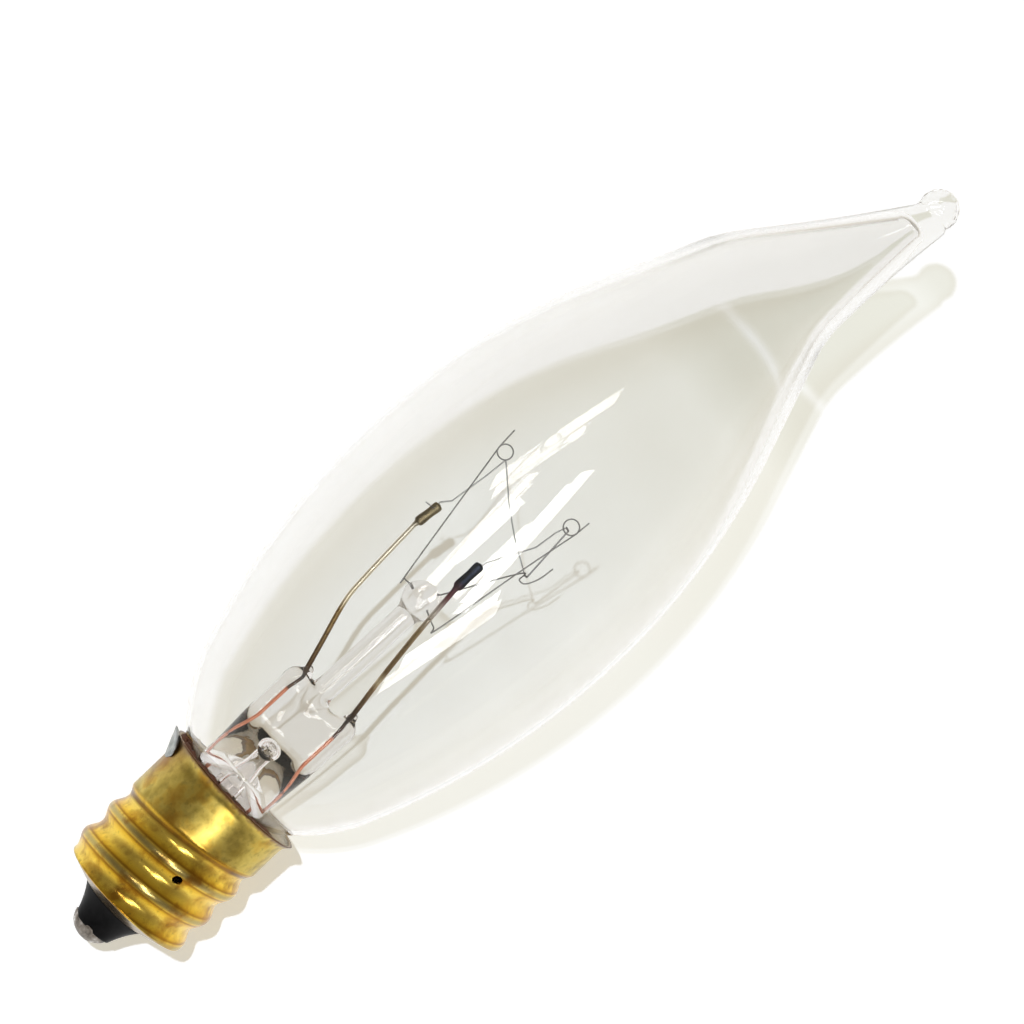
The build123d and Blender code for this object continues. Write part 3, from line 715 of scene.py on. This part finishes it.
def tip_radius(rise, start, end, whole):
    return start - TIP_SLOPE * rise + (end - start + TIP_SLOPE * whole) / whole ** 2 * rise ** 2


def ring(middle_across, height, radius):
    x = middle_across + radius * np.cos(glass_turns)
    return np.stack([x, radius * np.sin(glass_turns), np.full(GLASS_COLUMNS, height)], axis=1)


def extra_wall(height):
    """What the wall gains on its way from the belly to the bend."""
    return TIP_EXTRA_WALL * float(smooth_step(EXTRA_WALL_START, BEND_HEIGHT, height))


def flank_rings(neck_wall, wall):
    heights = np.concatenate([np.linspace(-NECK_DEPTH, LOWER_FLANK_START, NECK_ROWS)[:-1],
                              np.linspace(LOWER_FLANK_START, BEND_HEIGHT, FLANK_ROWS)[:-1]])
    rings = []
    for height in heights:
        radius = flank_radius(height, neck_wall, wall) - (extra_wall(height) if wall else 0)
        rings.append(ring(0, height, radius))
    return rings


def tip_rings(neck_wall, wall, end, whole, top, count):
    start = flank_radius(BEND_HEIGHT, neck_wall, wall) - (TIP_EXTRA_WALL if wall else 0)
    return [ring(tip_middle(rise), BEND_HEIGHT + rise, tip_radius(rise, start, end, whole))
            for rise in np.linspace(0, top, count)]


def bead_rings():
    """Melted bead, a little lumpy, from the tip's end to its pole."""
    rings = []
    middle = tip_middle(BEAD_RISE) + BEAD_OFFSET
    for climb in np.linspace(BEAD_START, pi / 2 - BEAD_POLE_GAP, BEAD_ROWS):
        lumps = lumps_round(BEAD_LUMPS, glass_turns, climb)
        radius = BEAD_RADIUS * cos(climb) * (1 + lumps * smooth_step(*BEAD_LUMPS_SPAN, climb))
        rings.append(ring(middle, BEND_HEIGHT + BEAD_RISE + BEAD_RADIUS * sin(climb), radius))
    return rings


def hollow_end_rings():
    """Rounded end of the hollow inside the tip."""
    rings = []
    for climb in np.linspace(0, pi / 2 - HOLLOW_POLE_GAP, HOLLOW_END_ROWS):
        rise = TIP_HOLLOW_HEIGHT + TIP_HOLLOW_END * TIP_HOLLOW_RADIUS * sin(climb)
        rings.append(ring(tip_middle(rise), BEND_HEIGHT + rise, TIP_HOLLOW_RADIUS * cos(climb)))
    return rings


def add_bulb_glass():
    tip = tip_rings(0, 0, TIP_RADIUS, TIP_HEIGHT, TIP_HEIGHT - BEAD_OVERLAP, TIP_ROWS)
    hollow = tip_rings(NECK_WALL, BELLY_WALL, TIP_HOLLOW_RADIUS, TIP_HOLLOW_HEIGHT, TIP_HOLLOW_HEIGHT,
                       HOLLOW_ROWS)
    outer = flank_rings(0, 0) + tip + bead_rings()
    inner = flank_rings(NECK_WALL, BELLY_WALL) + hollow[:-1] + hollow_end_rings()
    rings = inner[::-1] + outer
    add_rings("glass_bulb", rings, closed_faces, BULB_SEAT, clear_glass, "clear_glass", "glass_envelope")


# Stem glass

def smooth_cut(one, other, blend):
    """One shape less another, its edge rounded."""
    return -smooth_union(-one, other, blend)


def capsule(x, y, z, start, end, start_radius, end_radius):
    """Distance to a rod with round ends."""
    run = np.subtract(end, start)
    x, y, z = x - start[0], y - start[1], z - start[2]
    share = np.clip((x * run[0] + y * run[1] + z * run[2]) / run.dot(run), 0, 1)
    gap = np.sqrt((x - share * run[0]) ** 2 + (y - share * run[1]) ** 2 + (z - share * run[2]) ** 2)
    return gap - start_radius - share * (end_radius - start_radius)


def stem_distance(x, y, z):
    """Distance to the stem: flare and press, exhaust tube with its blow hole, arbor rod and button."""
    squeeze = smooth_step(PRESS_BOTTOM - PRESS_TAPER, PRESS_SHOULDER, z)
    flare = 1 - smooth_step(-NECK_DEPTH, FLARE_TOP, z)
    half_length = squeeze * (PRESS_HALF_WIDTH - PRESS_HALF_THICKNESS)
    radius = STEM_RADIUS + flare * (FLARE_RADIUS - STEM_RADIUS)
    radius = radius + squeeze * (PRESS_HALF_THICKNESS - STEM_RADIUS)
    body = np.hypot(np.maximum(np.abs(x) - half_length, 0), y) - radius
    body = smooth_cut(body, PRESS_TOP - PRESS_DIP * np.cos(x * PRESS_DIP_RATE) - z, PRESS_ROUND)
    body = smooth_cut(body, z + NECK_DEPTH - FOOT_GAP, FOOT_ROUND)
    funnel_radius = (STEM_RADIUS - STEM_WALL) * (1 - smooth_step(*FUNNEL_SPAN, z))
    funnel = np.hypot(x, y) - funnel_radius - FUNNEL_POINT
    body = smooth_cut(body, np.maximum(funnel, z - FUNNEL_TOP), FUNNEL_ROUND)
    tube_low = (0, 0, EXHAUST_BOTTOM + EXHAUST_RADIUS)
    tube = capsule(x, y, z, tube_low, (0, 0, EXHAUST_TOP), EXHAUST_RADIUS, EXHAUST_RADIUS)
    body = smooth_union(body, tube, EXHAUST_ROUND)
    bore = capsule(x, y, z, tube_low, (0, 0, BLOW_HOLE_HEIGHT), EXHAUST_BORE, EXHAUST_BORE)
    hole = np.sqrt(x ** 2 + (y - BLOW_HOLE_UP) ** 2 + (z - BLOW_HOLE_HEIGHT) ** 2) - BLOW_HOLE_RADIUS
    body = smooth_cut(body, bore, BORE_ROUND)
    body = smooth_cut(body, hole, BLOW_HOLE_ROUND)
    for side in (-LEAD_ACROSS, LEAD_ACROSS):
        nub = capsule(x, y, z, (side, 0, PRESS_TOP - NUB_ROOT), (side, 0, PRESS_TOP + NUB_RISE),
                      NUB_RADIUS, NUB_END_RADIUS)
        body = smooth_union(body, nub, NUB_ROUND)
    rod = capsule(x, y, z, (ARBOR_ACROSS, 0, PRESS_TOP - ARBOR_ROOT), (ARBOR_ACROSS, 0, BUTTON_HEIGHT),
                  ARBOR_RADIUS, ARBOR_RADIUS)
    body = smooth_union(body, rod, ARBOR_ROUND)
    button = np.sqrt((x - ARBOR_ACROSS) ** 2 + y ** 2 + (BUTTON_FLATNESS * (z - BUTTON_HEIGHT)) ** 2)
    return smooth_union(body, button - BUTTON_RADIUS, BUTTON_ROUND)


def surface_net(field, low, step):
    """Closed quads where a sampled field crosses zero."""
    cells = np.array(field.shape) - 1
    total = np.zeros((*cells, 3))
    count = np.zeros(cells)
    corner = {}
    for place in np.ndindex(2, 2, 2):
        corner[place] = field[tuple(slice(p, p + n) for p, n in zip(place, cells))]
    for axis in range(3):
        for place in np.ndindex(2, 2, 2):
            if place[axis]:
                continue
            other = tuple(1 if k == axis else p for k, p in enumerate(place))
            one, two = corner[place], corner[other]
            crossed = (one < 0) != (two < 0)
            share = np.where(crossed, one / np.where(crossed, one - two, 1), 0)
            for k in range(3):
                total[..., k] += crossed * (share if k == axis else place[k])
            count += crossed
    used = count > 0
    index = np.full(cells, -1)
    index[used] = np.arange(used.sum())
    points = (np.argwhere(used) + total[used] / count[used][:, None]) * step + low
    faces = []
    inside = field < 0
    for axis in range(3):
        one, two = [k for k in range(3) if k != axis]
        ahead = np.take(inside, range(1, field.shape[axis]), axis)
        behind = np.take(inside, range(field.shape[axis] - 1), axis)
        for outward in (True, False):
            spots = np.argwhere(behind & ~ahead if outward else ahead & ~behind)
            quad = []
            for shift_one, shift_two in ((1, 1), (0, 1), (0, 0), (1, 0)):
                spot = spots.copy()
                spot[:, one] -= shift_one
                spot[:, two] -= shift_two
                quad.append(index[tuple(spot.T)])
            if outward == (axis == 1):
                quad.reverse()
            faces += np.stack(quad, axis=1).tolist()
    return points, faces


def add_stem():
    grids = [np.arange(low, high, STEM_STEP) for low, high in zip(STEM_LOW, STEM_HIGH)]
    field = stem_distance(*np.meshgrid(*grids, indexing="ij"))
    points, faces = surface_net(field, np.array(STEM_LOW), STEM_STEP)
    add_piece("stem", points, faces, BULB_SEAT, stem_glass, "stem_glass",
              "stem_flare", "exhaust_tube", "arbor_rod")


# Cap

def cap_ring(turn, radius, height):
    radius = np.broadcast_to(radius, turn.shape)
    return np.stack([radius * np.cos(turn), radius * np.sin(turn), np.full(len(turn), height)], axis=1)


def ways_at(azimuth):
    """Outward and aside from the cap's axis at an azimuth."""
    return np.array([cos(azimuth), sin(azimuth), 0]), np.array([-sin(azimuth), cos(azimuth), 0])


def shell_radius(turn, height):
    """Rolled right-hand thread, with the cone below it and the plain skirt and its rim above."""
    climb = (height - THREAD_START + THREAD_SWAY * np.cos(turn)) / THREAD_PITCH - turn / (2 * pi)
    thread = THREAD_RADIUS - THREAD_DEPTH / 2 * (1 - np.cos(2 * pi * climb))
    flare = np.clip((height - CAP_HEIGHT + RIM_FLARE_HEIGHT) / RIM_FLARE_HEIGHT, 0, 1)
    skirt = SKIRT_RADIUS + (RIM_RADIUS - SKIRT_RADIUS) * flare ** 2
    start = SKIRT_START - SKIRT_SLANT * np.cos(turn)
    plain = smooth_step(start - SKIRT_BLEND, start + SKIRT_FULL, height)
    side = thread + (skirt - thread) * plain
    cone = SHELL_MOUTH_RADIUS + (height - SHELL_BOTTOM) / tan(SHELL_SLOPE)
    return smooth_union(side, cone, SHELL_ROUND)


def add_shell():
    turn = turns_of(SHELL_COLUMNS)
    cone_top = SHELL_BOTTOM + SHELL_CONE_RUN
    heights = [*np.linspace(SHELL_BOTTOM, cone_top, SHELL_CONE_ROWS)[:-1],
               *np.linspace(cone_top, CAP_HEIGHT, SHELL_THREAD_ROWS)]
    outer = [cap_ring(turn, shell_radius(turn, height), height) for height in heights]
    inner = [cap_ring(turn, np.maximum(shell_radius(turn, height) - SHELL_WALL, SHELL_MOUTH_RADIUS), height)
             for height in heights[SHELL_MOUTH_ROWS:]]
    rings = outer + inner[::-1]
    shell = add_rings("brass_shell", rings, loop_faces, CAP_SEAT, brass, "brass", "base_shell")
    drill_pinhole(shell)


def drill_pinhole(shell):
    """Cuts the vent hole through the shell's wall."""
    turn = turns_of(PINHOLE_COLUMNS)
    outward, aside = ways_at(PINHOLE_AZIMUTH)
    spin = np.cos(turn)[:, None] * aside + np.sin(turn)[:, None] * np.array([0, 0, 1])
    middle = np.array([0, 0, PINHOLE_HEIGHT])
    rings = [outward * reach + middle + PINHOLE_RADIUS * spin for reach in PINHOLE_REACH]
    mesh = bpy.data.meshes.new("drill")
    faces = closed_faces(len(rings), PINHOLE_COLUMNS)
    mesh.from_pydata(placed(np.concatenate(rings), CAP_SEAT).tolist(), [], faces)
    drill = new_object("drill", mesh)
    cut = shell.modifiers.new("pinhole", "BOOLEAN")
    cut.object = drill
    cut.operation = "DIFFERENCE"
    cut.solver = "EXACT"
    bpy.context.view_layer.update()
    drilled = bpy.data.meshes.new_from_object(shell.evaluated_get(bpy.context.evaluated_depsgraph_get()))
    shell.modifiers.clear()
    shell.data = drilled
    bpy.data.objects.remove(drill)


def add_nose():
    """Black glass from the contact to the shell's mouth, and its plug inside the shell."""
    turn = turns_of(NOSE_COLUMNS)
    rings = []
    for t in np.linspace(0, 1, NOSE_ROWS):
        hollow = 4 * NOSE_HOLLOW * t * (1 - t)
        radius = NOSE_RADIUS + (SHELL_MOUTH_RADIUS - NOSE_GAP - NOSE_RADIUS) * t - hollow
        ripple = NOSE_RIPPLE * np.sin(2 * turn + 4 * t) * (1 - t)
        rings.append(cap_ring(turn, radius + ripple, NOSE_BOTTOM + (SHELL_BOTTOM - NOSE_BOTTOM) * t))
    plug_bottom = SHELL_BOTTOM + (PLUG_RADIUS - SHELL_MOUTH_RADIUS) * tan(SHELL_SLOPE) + PLUG_LIFT
    rings.append(cap_ring(turn, SHELL_MOUTH_RADIUS - NOSE_GAP, SHELL_BOTTOM + PLUG_LIFT))
    rings.append(cap_ring(turn, PLUG_RADIUS, plug_bottom))
    rings.append(cap_ring(turn, PLUG_RADIUS, PLUG_TOP))
    add_rings("insulator_nose", rings, closed_faces, CAP_SEAT, black_glass, "black_glass", "base_insulator")


def add_cement():
    """Cement between the glass neck and the shell, its edge ragged along the rim."""
    turn = turns_of(CEMENT_COLUMNS)
    rings = []
    for height in CEMENT_STEPS:
        radius = shell_radius(turn, CAP_HEIGHT + height) - SHELL_WALL - CEMENT_SHELL_GAP
        rings.append(placed(cap_ring(turn, radius, CAP_HEIGHT + height), CAP_SEAT))
    ragged = lumps_round(CEMENT_RAGGED, turn)
    for height in np.linspace(CEMENT_TOP, -CEMENT_DEPTH, CEMENT_ROWS):
        worn = ragged * smooth_step(CEMENT_WORN_FROM, CEMENT_TOP, height)
        radius = [flank_radius(height + rise, 0, 0) + CEMENT_GLASS_GAP for rise in worn]
        on_glass = cap_ring(turn, radius, height)
        on_glass[:, 2] += worn
        rings.append(placed(on_glass, BULB_SEAT))
    add_rings("cement_ring", rings, loop_faces, np.eye(4), cement, "cement", "basing_cement")


def add_contact():
    """Rough dome of solder on the contact, set a little off the middle."""
    turn = turns_of(TIP_SOLDER_COLUMNS)
    rings = []
    for climb in np.linspace(-pi / 2 + TIP_SOLDER_POLE_GAP, 0, TIP_SOLDER_ROWS):
        lumps = 1 + TIP_SOLDER_SWELL * np.sin(3 * turn + 2) * cos(climb)
        lumps = lumps + lumps_round(TIP_SOLDER_LUMPS, turn, climb)
        height = TIP_SOLDER_LIFT + TIP_SOLDER_HEIGHT * (1 + sin(climb))
        dome = cap_ring(turn, TIP_SOLDER_RADIUS * cos(climb) * lumps, height)
        rings.append(dome + np.array([TIP_SOLDER_OFFSET, 0, 0]))
    rings.append(cap_ring(turn, TIP_SOLDER_SEAT_RADIUS, NOSE_BOTTOM + TIP_SOLDER_SEAT))
    add_rings("contact_solder", rings, closed_faces, CAP_SEAT, solder, "solder", "tip_solder")


def add_rim_solder():
    """Pointed drop of solder that fills the corner under the rim and stands up past it."""
    turn = turns_of(RIM_SOLDER_COLUMNS)
    outward, aside = ways_at(RIM_SOLDER_AZIMUTH)
    skin = SKIRT_RADIUS + RIM_SOLDER_SKIN
    rings = []
    for t in np.linspace(0, 1, RIM_SOLDER_ROWS):
        outer = skin + (RIM_SOLDER_REACH - skin) * t ** RIM_SOLDER_OUTER_CURVE
        inner = SKIRT_RADIUS - RIM_SOLDER_BITE
        inner = inner + (RIM_SOLDER_REACH - SKIRT_RADIUS) * t ** RIM_SOLDER_INNER_CURVE
        height = RIM_SOLDER_BOTTOM + (RIM_SOLDER_TOP - RIM_SOLDER_BOTTOM) * t
        lumps = 1 + RIM_SOLDER_LUMPS * np.sin(3 * turn + 6 * t)
        swell = sqrt(max(1 - t ** 2, RIM_SOLDER_POINT)) * min(1, RIM_SOLDER_FOOT + RIM_SOLDER_GROWTH * t)
        spin = ((outer - inner) / 2 * np.cos(turn) * lumps)[:, None] * outward
        spin = spin + (RIM_SOLDER_HALF_WIDTH * swell * np.sin(turn) * lumps)[:, None] * aside
        rings.append(outward * (outer + inner) / 2 + np.array([0, 0, height]) + spin)
    add_rings("rim_solder", rings, closed_faces, CAP_SEAT, grey_solder, "solder", "side_solder")


# Wires

def smooth_path(points, per_run=WIRE_STEPS):
    """Even curve through the points."""
    points = np.asarray(points, float)
    padded = np.concatenate([[2 * points[0] - points[1]], points, [2 * points[-1] - points[-2]]])
    path = []
    for before, start, end, after in zip(padded, padded[1:], padded[2:], padded[3:]):
        for t in np.linspace(0, 1, per_run, endpoint=False):
            path.append(0.5 * (2 * start + (end - before) * t
                               + (2 * before - 5 * start + 4 * end - after) * t ** 2
                               + (3 * start - before - 3 * end + after) * t ** 3))
    return np.array([*path, points[-1]])


def straight_path(start, end, steps):
    share = np.linspace(0, 1, steps)[:, None]
    return np.array(start) * (1 - share) + np.array(end) * share


def wire_frame(path):
    """Forward, side and third axis at each point of a path."""
    forward = np.gradient(path, axis=0)
    forward /= np.linalg.norm(forward, axis=1)[:, None]
    side = np.zeros_like(path)
    guide = np.array(WIRE_GUIDE, float)
    for k, way in enumerate(forward):
        guide = guide - way * guide.dot(way)
        guide /= np.linalg.norm(guide)
        side[k] = guide
    return forward, side, np.cross(forward, side)


def add_wire(name, path, wide, thick, material, slot, node, columns=WIRE_COLUMNS):
    """Closed rod along a path, its half width and half thickness given all along or point by point."""
    forward, side, other = wire_frame(path)
    turn = turns_of(columns)
    wide = np.broadcast_to(wide, len(path))[:, None, None]
    thick = np.broadcast_to(thick, len(path))[:, None, None]
    points = (path[:, None, :] + wide * np.cos(turn)[None, :, None] * side[:, None, :]
              + thick * np.sin(turn)[None, :, None] * other[:, None, :])
    add_rings(name, points, closed_faces, BULB_SEAT, material, slot, node)


def add_lead(name, route, tab, material, node):
    """Inner lead, thinner at its welded foot, its end flattened to a tab over the filament."""
    run = smooth_path(route)
    path = np.concatenate([run, straight_path(*tab, TAB_STEPS)])
    thin = SEAL_WIRE_RADIUS + (LEAD_RADIUS - SEAL_WIRE_RADIUS) * smooth_step(*LEAD_FOOT, run[:, 2])
    end = np.sqrt(np.clip(1 - np.linspace(TAB_START, 1, TAB_STEPS) ** TAB_SQUARENESS, TAB_END, 1))
    wobble = 1 + TAB_WOBBLE * np.sin(np.linspace(0, TAB_WOBBLE_TURN, TAB_STEPS))
    add_wire(name, path, np.concatenate([thin, TAB_HALF_WIDTH * end * wobble]),
             np.concatenate([thin, TAB_HALF_THICKNESS * end]), material, "nickel_wire", node)


def add_support(name, path, node):
    add_wire(name, path, SUPPORT_RADIUS, SUPPORT_RADIUS, molybdenum, "molybdenum", node, SUPPORT_COLUMNS)


def add_loop_support(name, route, tail, turn_way, node):
    """Fine support that turns once round its loop and ends in a short tail."""
    run = smooth_path(route, SUPPORT_STEPS)
    forward = (run[-1] - run[-2]) / np.linalg.norm(run[-1] - run[-2])
    inward = np.cross((0, turn_way, 0), forward)
    inward /= np.linalg.norm(inward)
    angle = np.linspace(0, 2 * pi, LOOP_STEPS)[1:, None]
    loop = run[-1] + SUPPORT_LOOP_RADIUS * (inward * (1 - np.cos(angle)) + forward * np.sin(angle))
    loop = loop + np.array([0, SUPPORT_LOOP_LIFT, 0]) * angle / (2 * pi)
    end = straight_path(loop[-1], tail, TAIL_STEPS)[1:]
    add_support(name, np.concatenate([run, loop, end]), node)


def add_filament():
    """Coil wound round the filament's run."""
    corners = np.array(FILAMENT)
    distance = np.concatenate([[0], np.cumsum(np.linalg.norm(np.diff(corners, axis=0), axis=1))])
    count = int(distance[-1] / COIL_PITCH * COIL_STEPS)
    at = np.linspace(0, distance[-1], count)
    path = np.stack([np.interp(at, distance, corners[:, k]) for k in range(3)], axis=1)
    forward, side, other = wire_frame(path)
    phase = (2 * pi * at / COIL_PITCH)[:, None]
    outward = side * np.cos(phase) + other * np.sin(phase)
    centre = path + (COIL_RADIUS - COIL_WIRE_RADIUS) * outward
    strands = []
    for column in range(COIL_COLUMNS):
        angle = column * 2 * pi / COIL_COLUMNS
        strands.append(centre + COIL_WIRE_RADIUS * (cos(angle) * outward - sin(angle) * forward))
    rings = np.stack(strands, axis=1)
    add_rings("filament_coil", rings, closed_faces, BULB_SEAT, tungsten, "tungsten", "filament")


def add_wires():
    add_lead("lead_left", LEFT_LEAD, LEFT_TAB, left_nickel, "inner_lead_left")
    add_lead("lead_right", RIGHT_LEAD, RIGHT_TAB, right_nickel, "inner_lead_right")
    for name, foot in (("left", LEFT_LEAD[0]), ("right", RIGHT_LEAD[0])):
        path = smooth_path([(foot[0], 0, PRESS_BOTTOM), (foot[0], 0, SEAL_WIRE_BEND), foot])
        add_wire("seal_" + name, path, SEAL_WIRE_RADIUS, SEAL_WIRE_RADIUS, copper_clad, "copper_clad",
                 "seal_wire_" + name)
    add_loop_support("support_1", SUPPORT_1, SUPPORT_1_TAIL, -1, "filament_support_1")
    add_loop_support("support_2", SUPPORT_2, SUPPORT_2_TAIL, 1, "filament_support_2")
    add_support("support_3", smooth_path(SUPPORT_3, SUPPORT_STEPS), "filament_support_3")
    add_filament()


add_bulb_glass()
add_stem()
add_shell()
add_nose()
add_cement()
add_contact()
add_rim_solder()
add_wires()

DRESS = {"outer_lead_left": copper_clad, "outer_lead_right": copper_clad, "contact_eyelet": eyelet_brass}
for name, finish in DRESS.items():
    materials = frame["nodes"][name].data.materials
    materials.clear()
    materials.append(finish)


# Floor, light and camera, sizes in metres and angles in degrees
FLOOR_SIZE = 6.0
FLOOR_ALBEDO = 0.8
FLOOR_UNEVEN = 0.01
FLOOR_GLOW = (0.46, 0.44, 0.38)
SKY_STOPS = [(0.0, (0.8, 0.77, 0.72)), (0.25, (0.5, 0.47, 0.42)), (0.6, (0.26, 0.24, 0.2)),
             (1.0, (0.26, 0.24, 0.2))]
WHITE = (1, 1, 1)
LAMP_DISTANCE = 1.0
KEY = {"lean_along": 4.4, "lean_across": 8.3, "long": 0.0064, "wide": 0.0064, "slant": 0, "radiance": 8200,
       "colour": (0.74, 0.82, 1.0), "distance": 0.4}
STRIPS = {
    "strip_far": {"lean_along": 4, "lean_across": -13.3, "long": 0.5, "wide": 0.085, "slant": 19.6,
                  "radiance": 14},
    "strip_near": {"lean_along": -15.5, "lean_across": -25.5, "long": 0.36, "wide": 0.085, "slant": -29,
                   "radiance": 14},
    "strip_small": {"lean_along": 1, "lean_across": 5, "long": 0.22, "wide": 0.08, "slant": 0,
                    "radiance": 10}}
BOUNCES = 24
GLOSSY_BOUNCES = 16

# The camera's lens in millimetres, and its axes and place along, across and up the bulb
LENS = 94.85
SENSOR_WIDTH = 36
CAMERA_RIGHT = (0.7360, -0.6767, -0.0198)
CAMERA_TOP = (0.6768, 0.7347, 0.0459)
CAMERA_BACK = (-0.0165, -0.0472, 0.9988)
CAMERA_PLACE = (26.51, -8.916, 206.74)

belly_middle = bulb_origin + along * BELLY_HEIGHT * MM


def add_floor():
    """Matt pale floor, with a glow for the eye alone that brings it to white."""
    material, tree = new_tree("pale_floor")
    paper = ramp(tree, noise(tree, 0.05), [(NOISE_SPAN[0], (FLOOR_ALBEDO - FLOOR_UNEVEN,) * 3),
                                           (NOISE_SPAN[1], (FLOOR_ALBEDO + FLOOR_UNEVEN,) * 3)])
    matt = make(tree, "BsdfDiffuse", {"Color": paper})
    rays = make(tree, "LightPath")
    seen = any_ray(tree, rays, "Is Camera Ray", "Is Transmission Ray", "Is Glossy Ray")
    glow = make(tree, "Emission", {"Color": (*FLOOR_GLOW, 1), "Strength": seen})
    both = make(tree, "AddShader", {0: matt.outputs["BSDF"], 1: glow.outputs["Emission"]})
    make(tree, "OutputMaterial", {"Surface": both.outputs["Shader"]})
    half = FLOOR_SIZE / 2
    corners = [(-half, -half, 0), (half, -half, 0), (half, half, 0), (-half, half, 0)]
    mesh = bpy.data.meshes.new("floor")
    mesh.from_pydata(corners, [], [(0, 1, 2, 3)])
    mesh.materials.append(material)
    floor = new_object("floor", mesh)


def add_lamp(name, lean_along, lean_across, long, wide, slant, radiance, colour=WHITE,
             distance=LAMP_DISTANCE):
    """Soft box over the bulb, leaning from the up axis and turned by a slant."""
    back = (up + along * tan(radians(lean_along)) + across * tan(radians(lean_across))).normalized()
    side = along * cos(radians(slant)) + across * sin(radians(slant))
    side = (side - back * side.dot(back)).normalized()
    lamp = bpy.data.lights.new(name, "AREA")
    lamp.shape = "RECTANGLE"
    lamp.size = long
    lamp.size_y = wide
    lamp.energy = radiance * pi * long * wide
    lamp.color = colour
    holder = new_object(name, lamp)
    turned = Matrix((side, back.cross(side), back)).transposed().to_4x4()
    holder.matrix_world = Matrix.Translation(belly_middle + back * distance) @ turned
    return holder


def add_world():
    """Soft warm sky, white to the eye."""
    world = bpy.data.worlds.new("studio")
    world.use_nodes = True
    tree = world.node_tree
    tree.nodes.clear()
    direction = make(tree, "TexCoord").outputs["Generated"]
    climb = make(tree, "SeparateXYZ", {"Vector": direction}).outputs["Z"]
    rays = make(tree, "LightPath")
    seen = any_ray(tree, rays, "Is Camera Ray", "Is Transmission Ray")
    lit = make(tree, "Background", {"Color": ramp(tree, climb, SKY_STOPS), "Strength": 1.0})
    white = make(tree, "Background", {"Color": (*WHITE, 1), "Strength": 1.0})
    mixed = make(tree, "MixShader", {0: seen, 1: lit.outputs["Background"], 2: white.outputs["Background"]})
    make(tree, "OutputWorld", {"Surface": mixed.outputs["Shader"]})
    scene.world = world


def on_bulb(along_part, across_part, up_part):
    return along * along_part + across * across_part + up * up_part


def add_camera():
    data = bpy.data.cameras.new("camera")
    data.lens = LENS
    data.sensor_width = SENSOR_WIDTH
    camera = new_object("camera", data)
    axes = Matrix([on_bulb(*axis) for axis in (CAMERA_RIGHT, CAMERA_TOP, CAMERA_BACK)])
    place = Matrix.Translation(bulb_origin + on_bulb(*CAMERA_PLACE) * MM)
    camera.matrix_world = place @ axes.transposed().to_4x4()
    scene.camera = camera


add_floor()
add_world()
key = add_lamp("key", **KEY)
key.visible_glossy = False
for name, settings in STRIPS.items():
    strip = add_lamp(name, **settings)
    strip.visible_diffuse = False
add_camera()
scene.view_settings.view_transform = "Standard"
scene.cycles.max_bounces = BOUNCES
scene.cycles.glossy_bounces = GLOSSY_BOUNCES
scene.cycles.transmission_bounces = BOUNCES
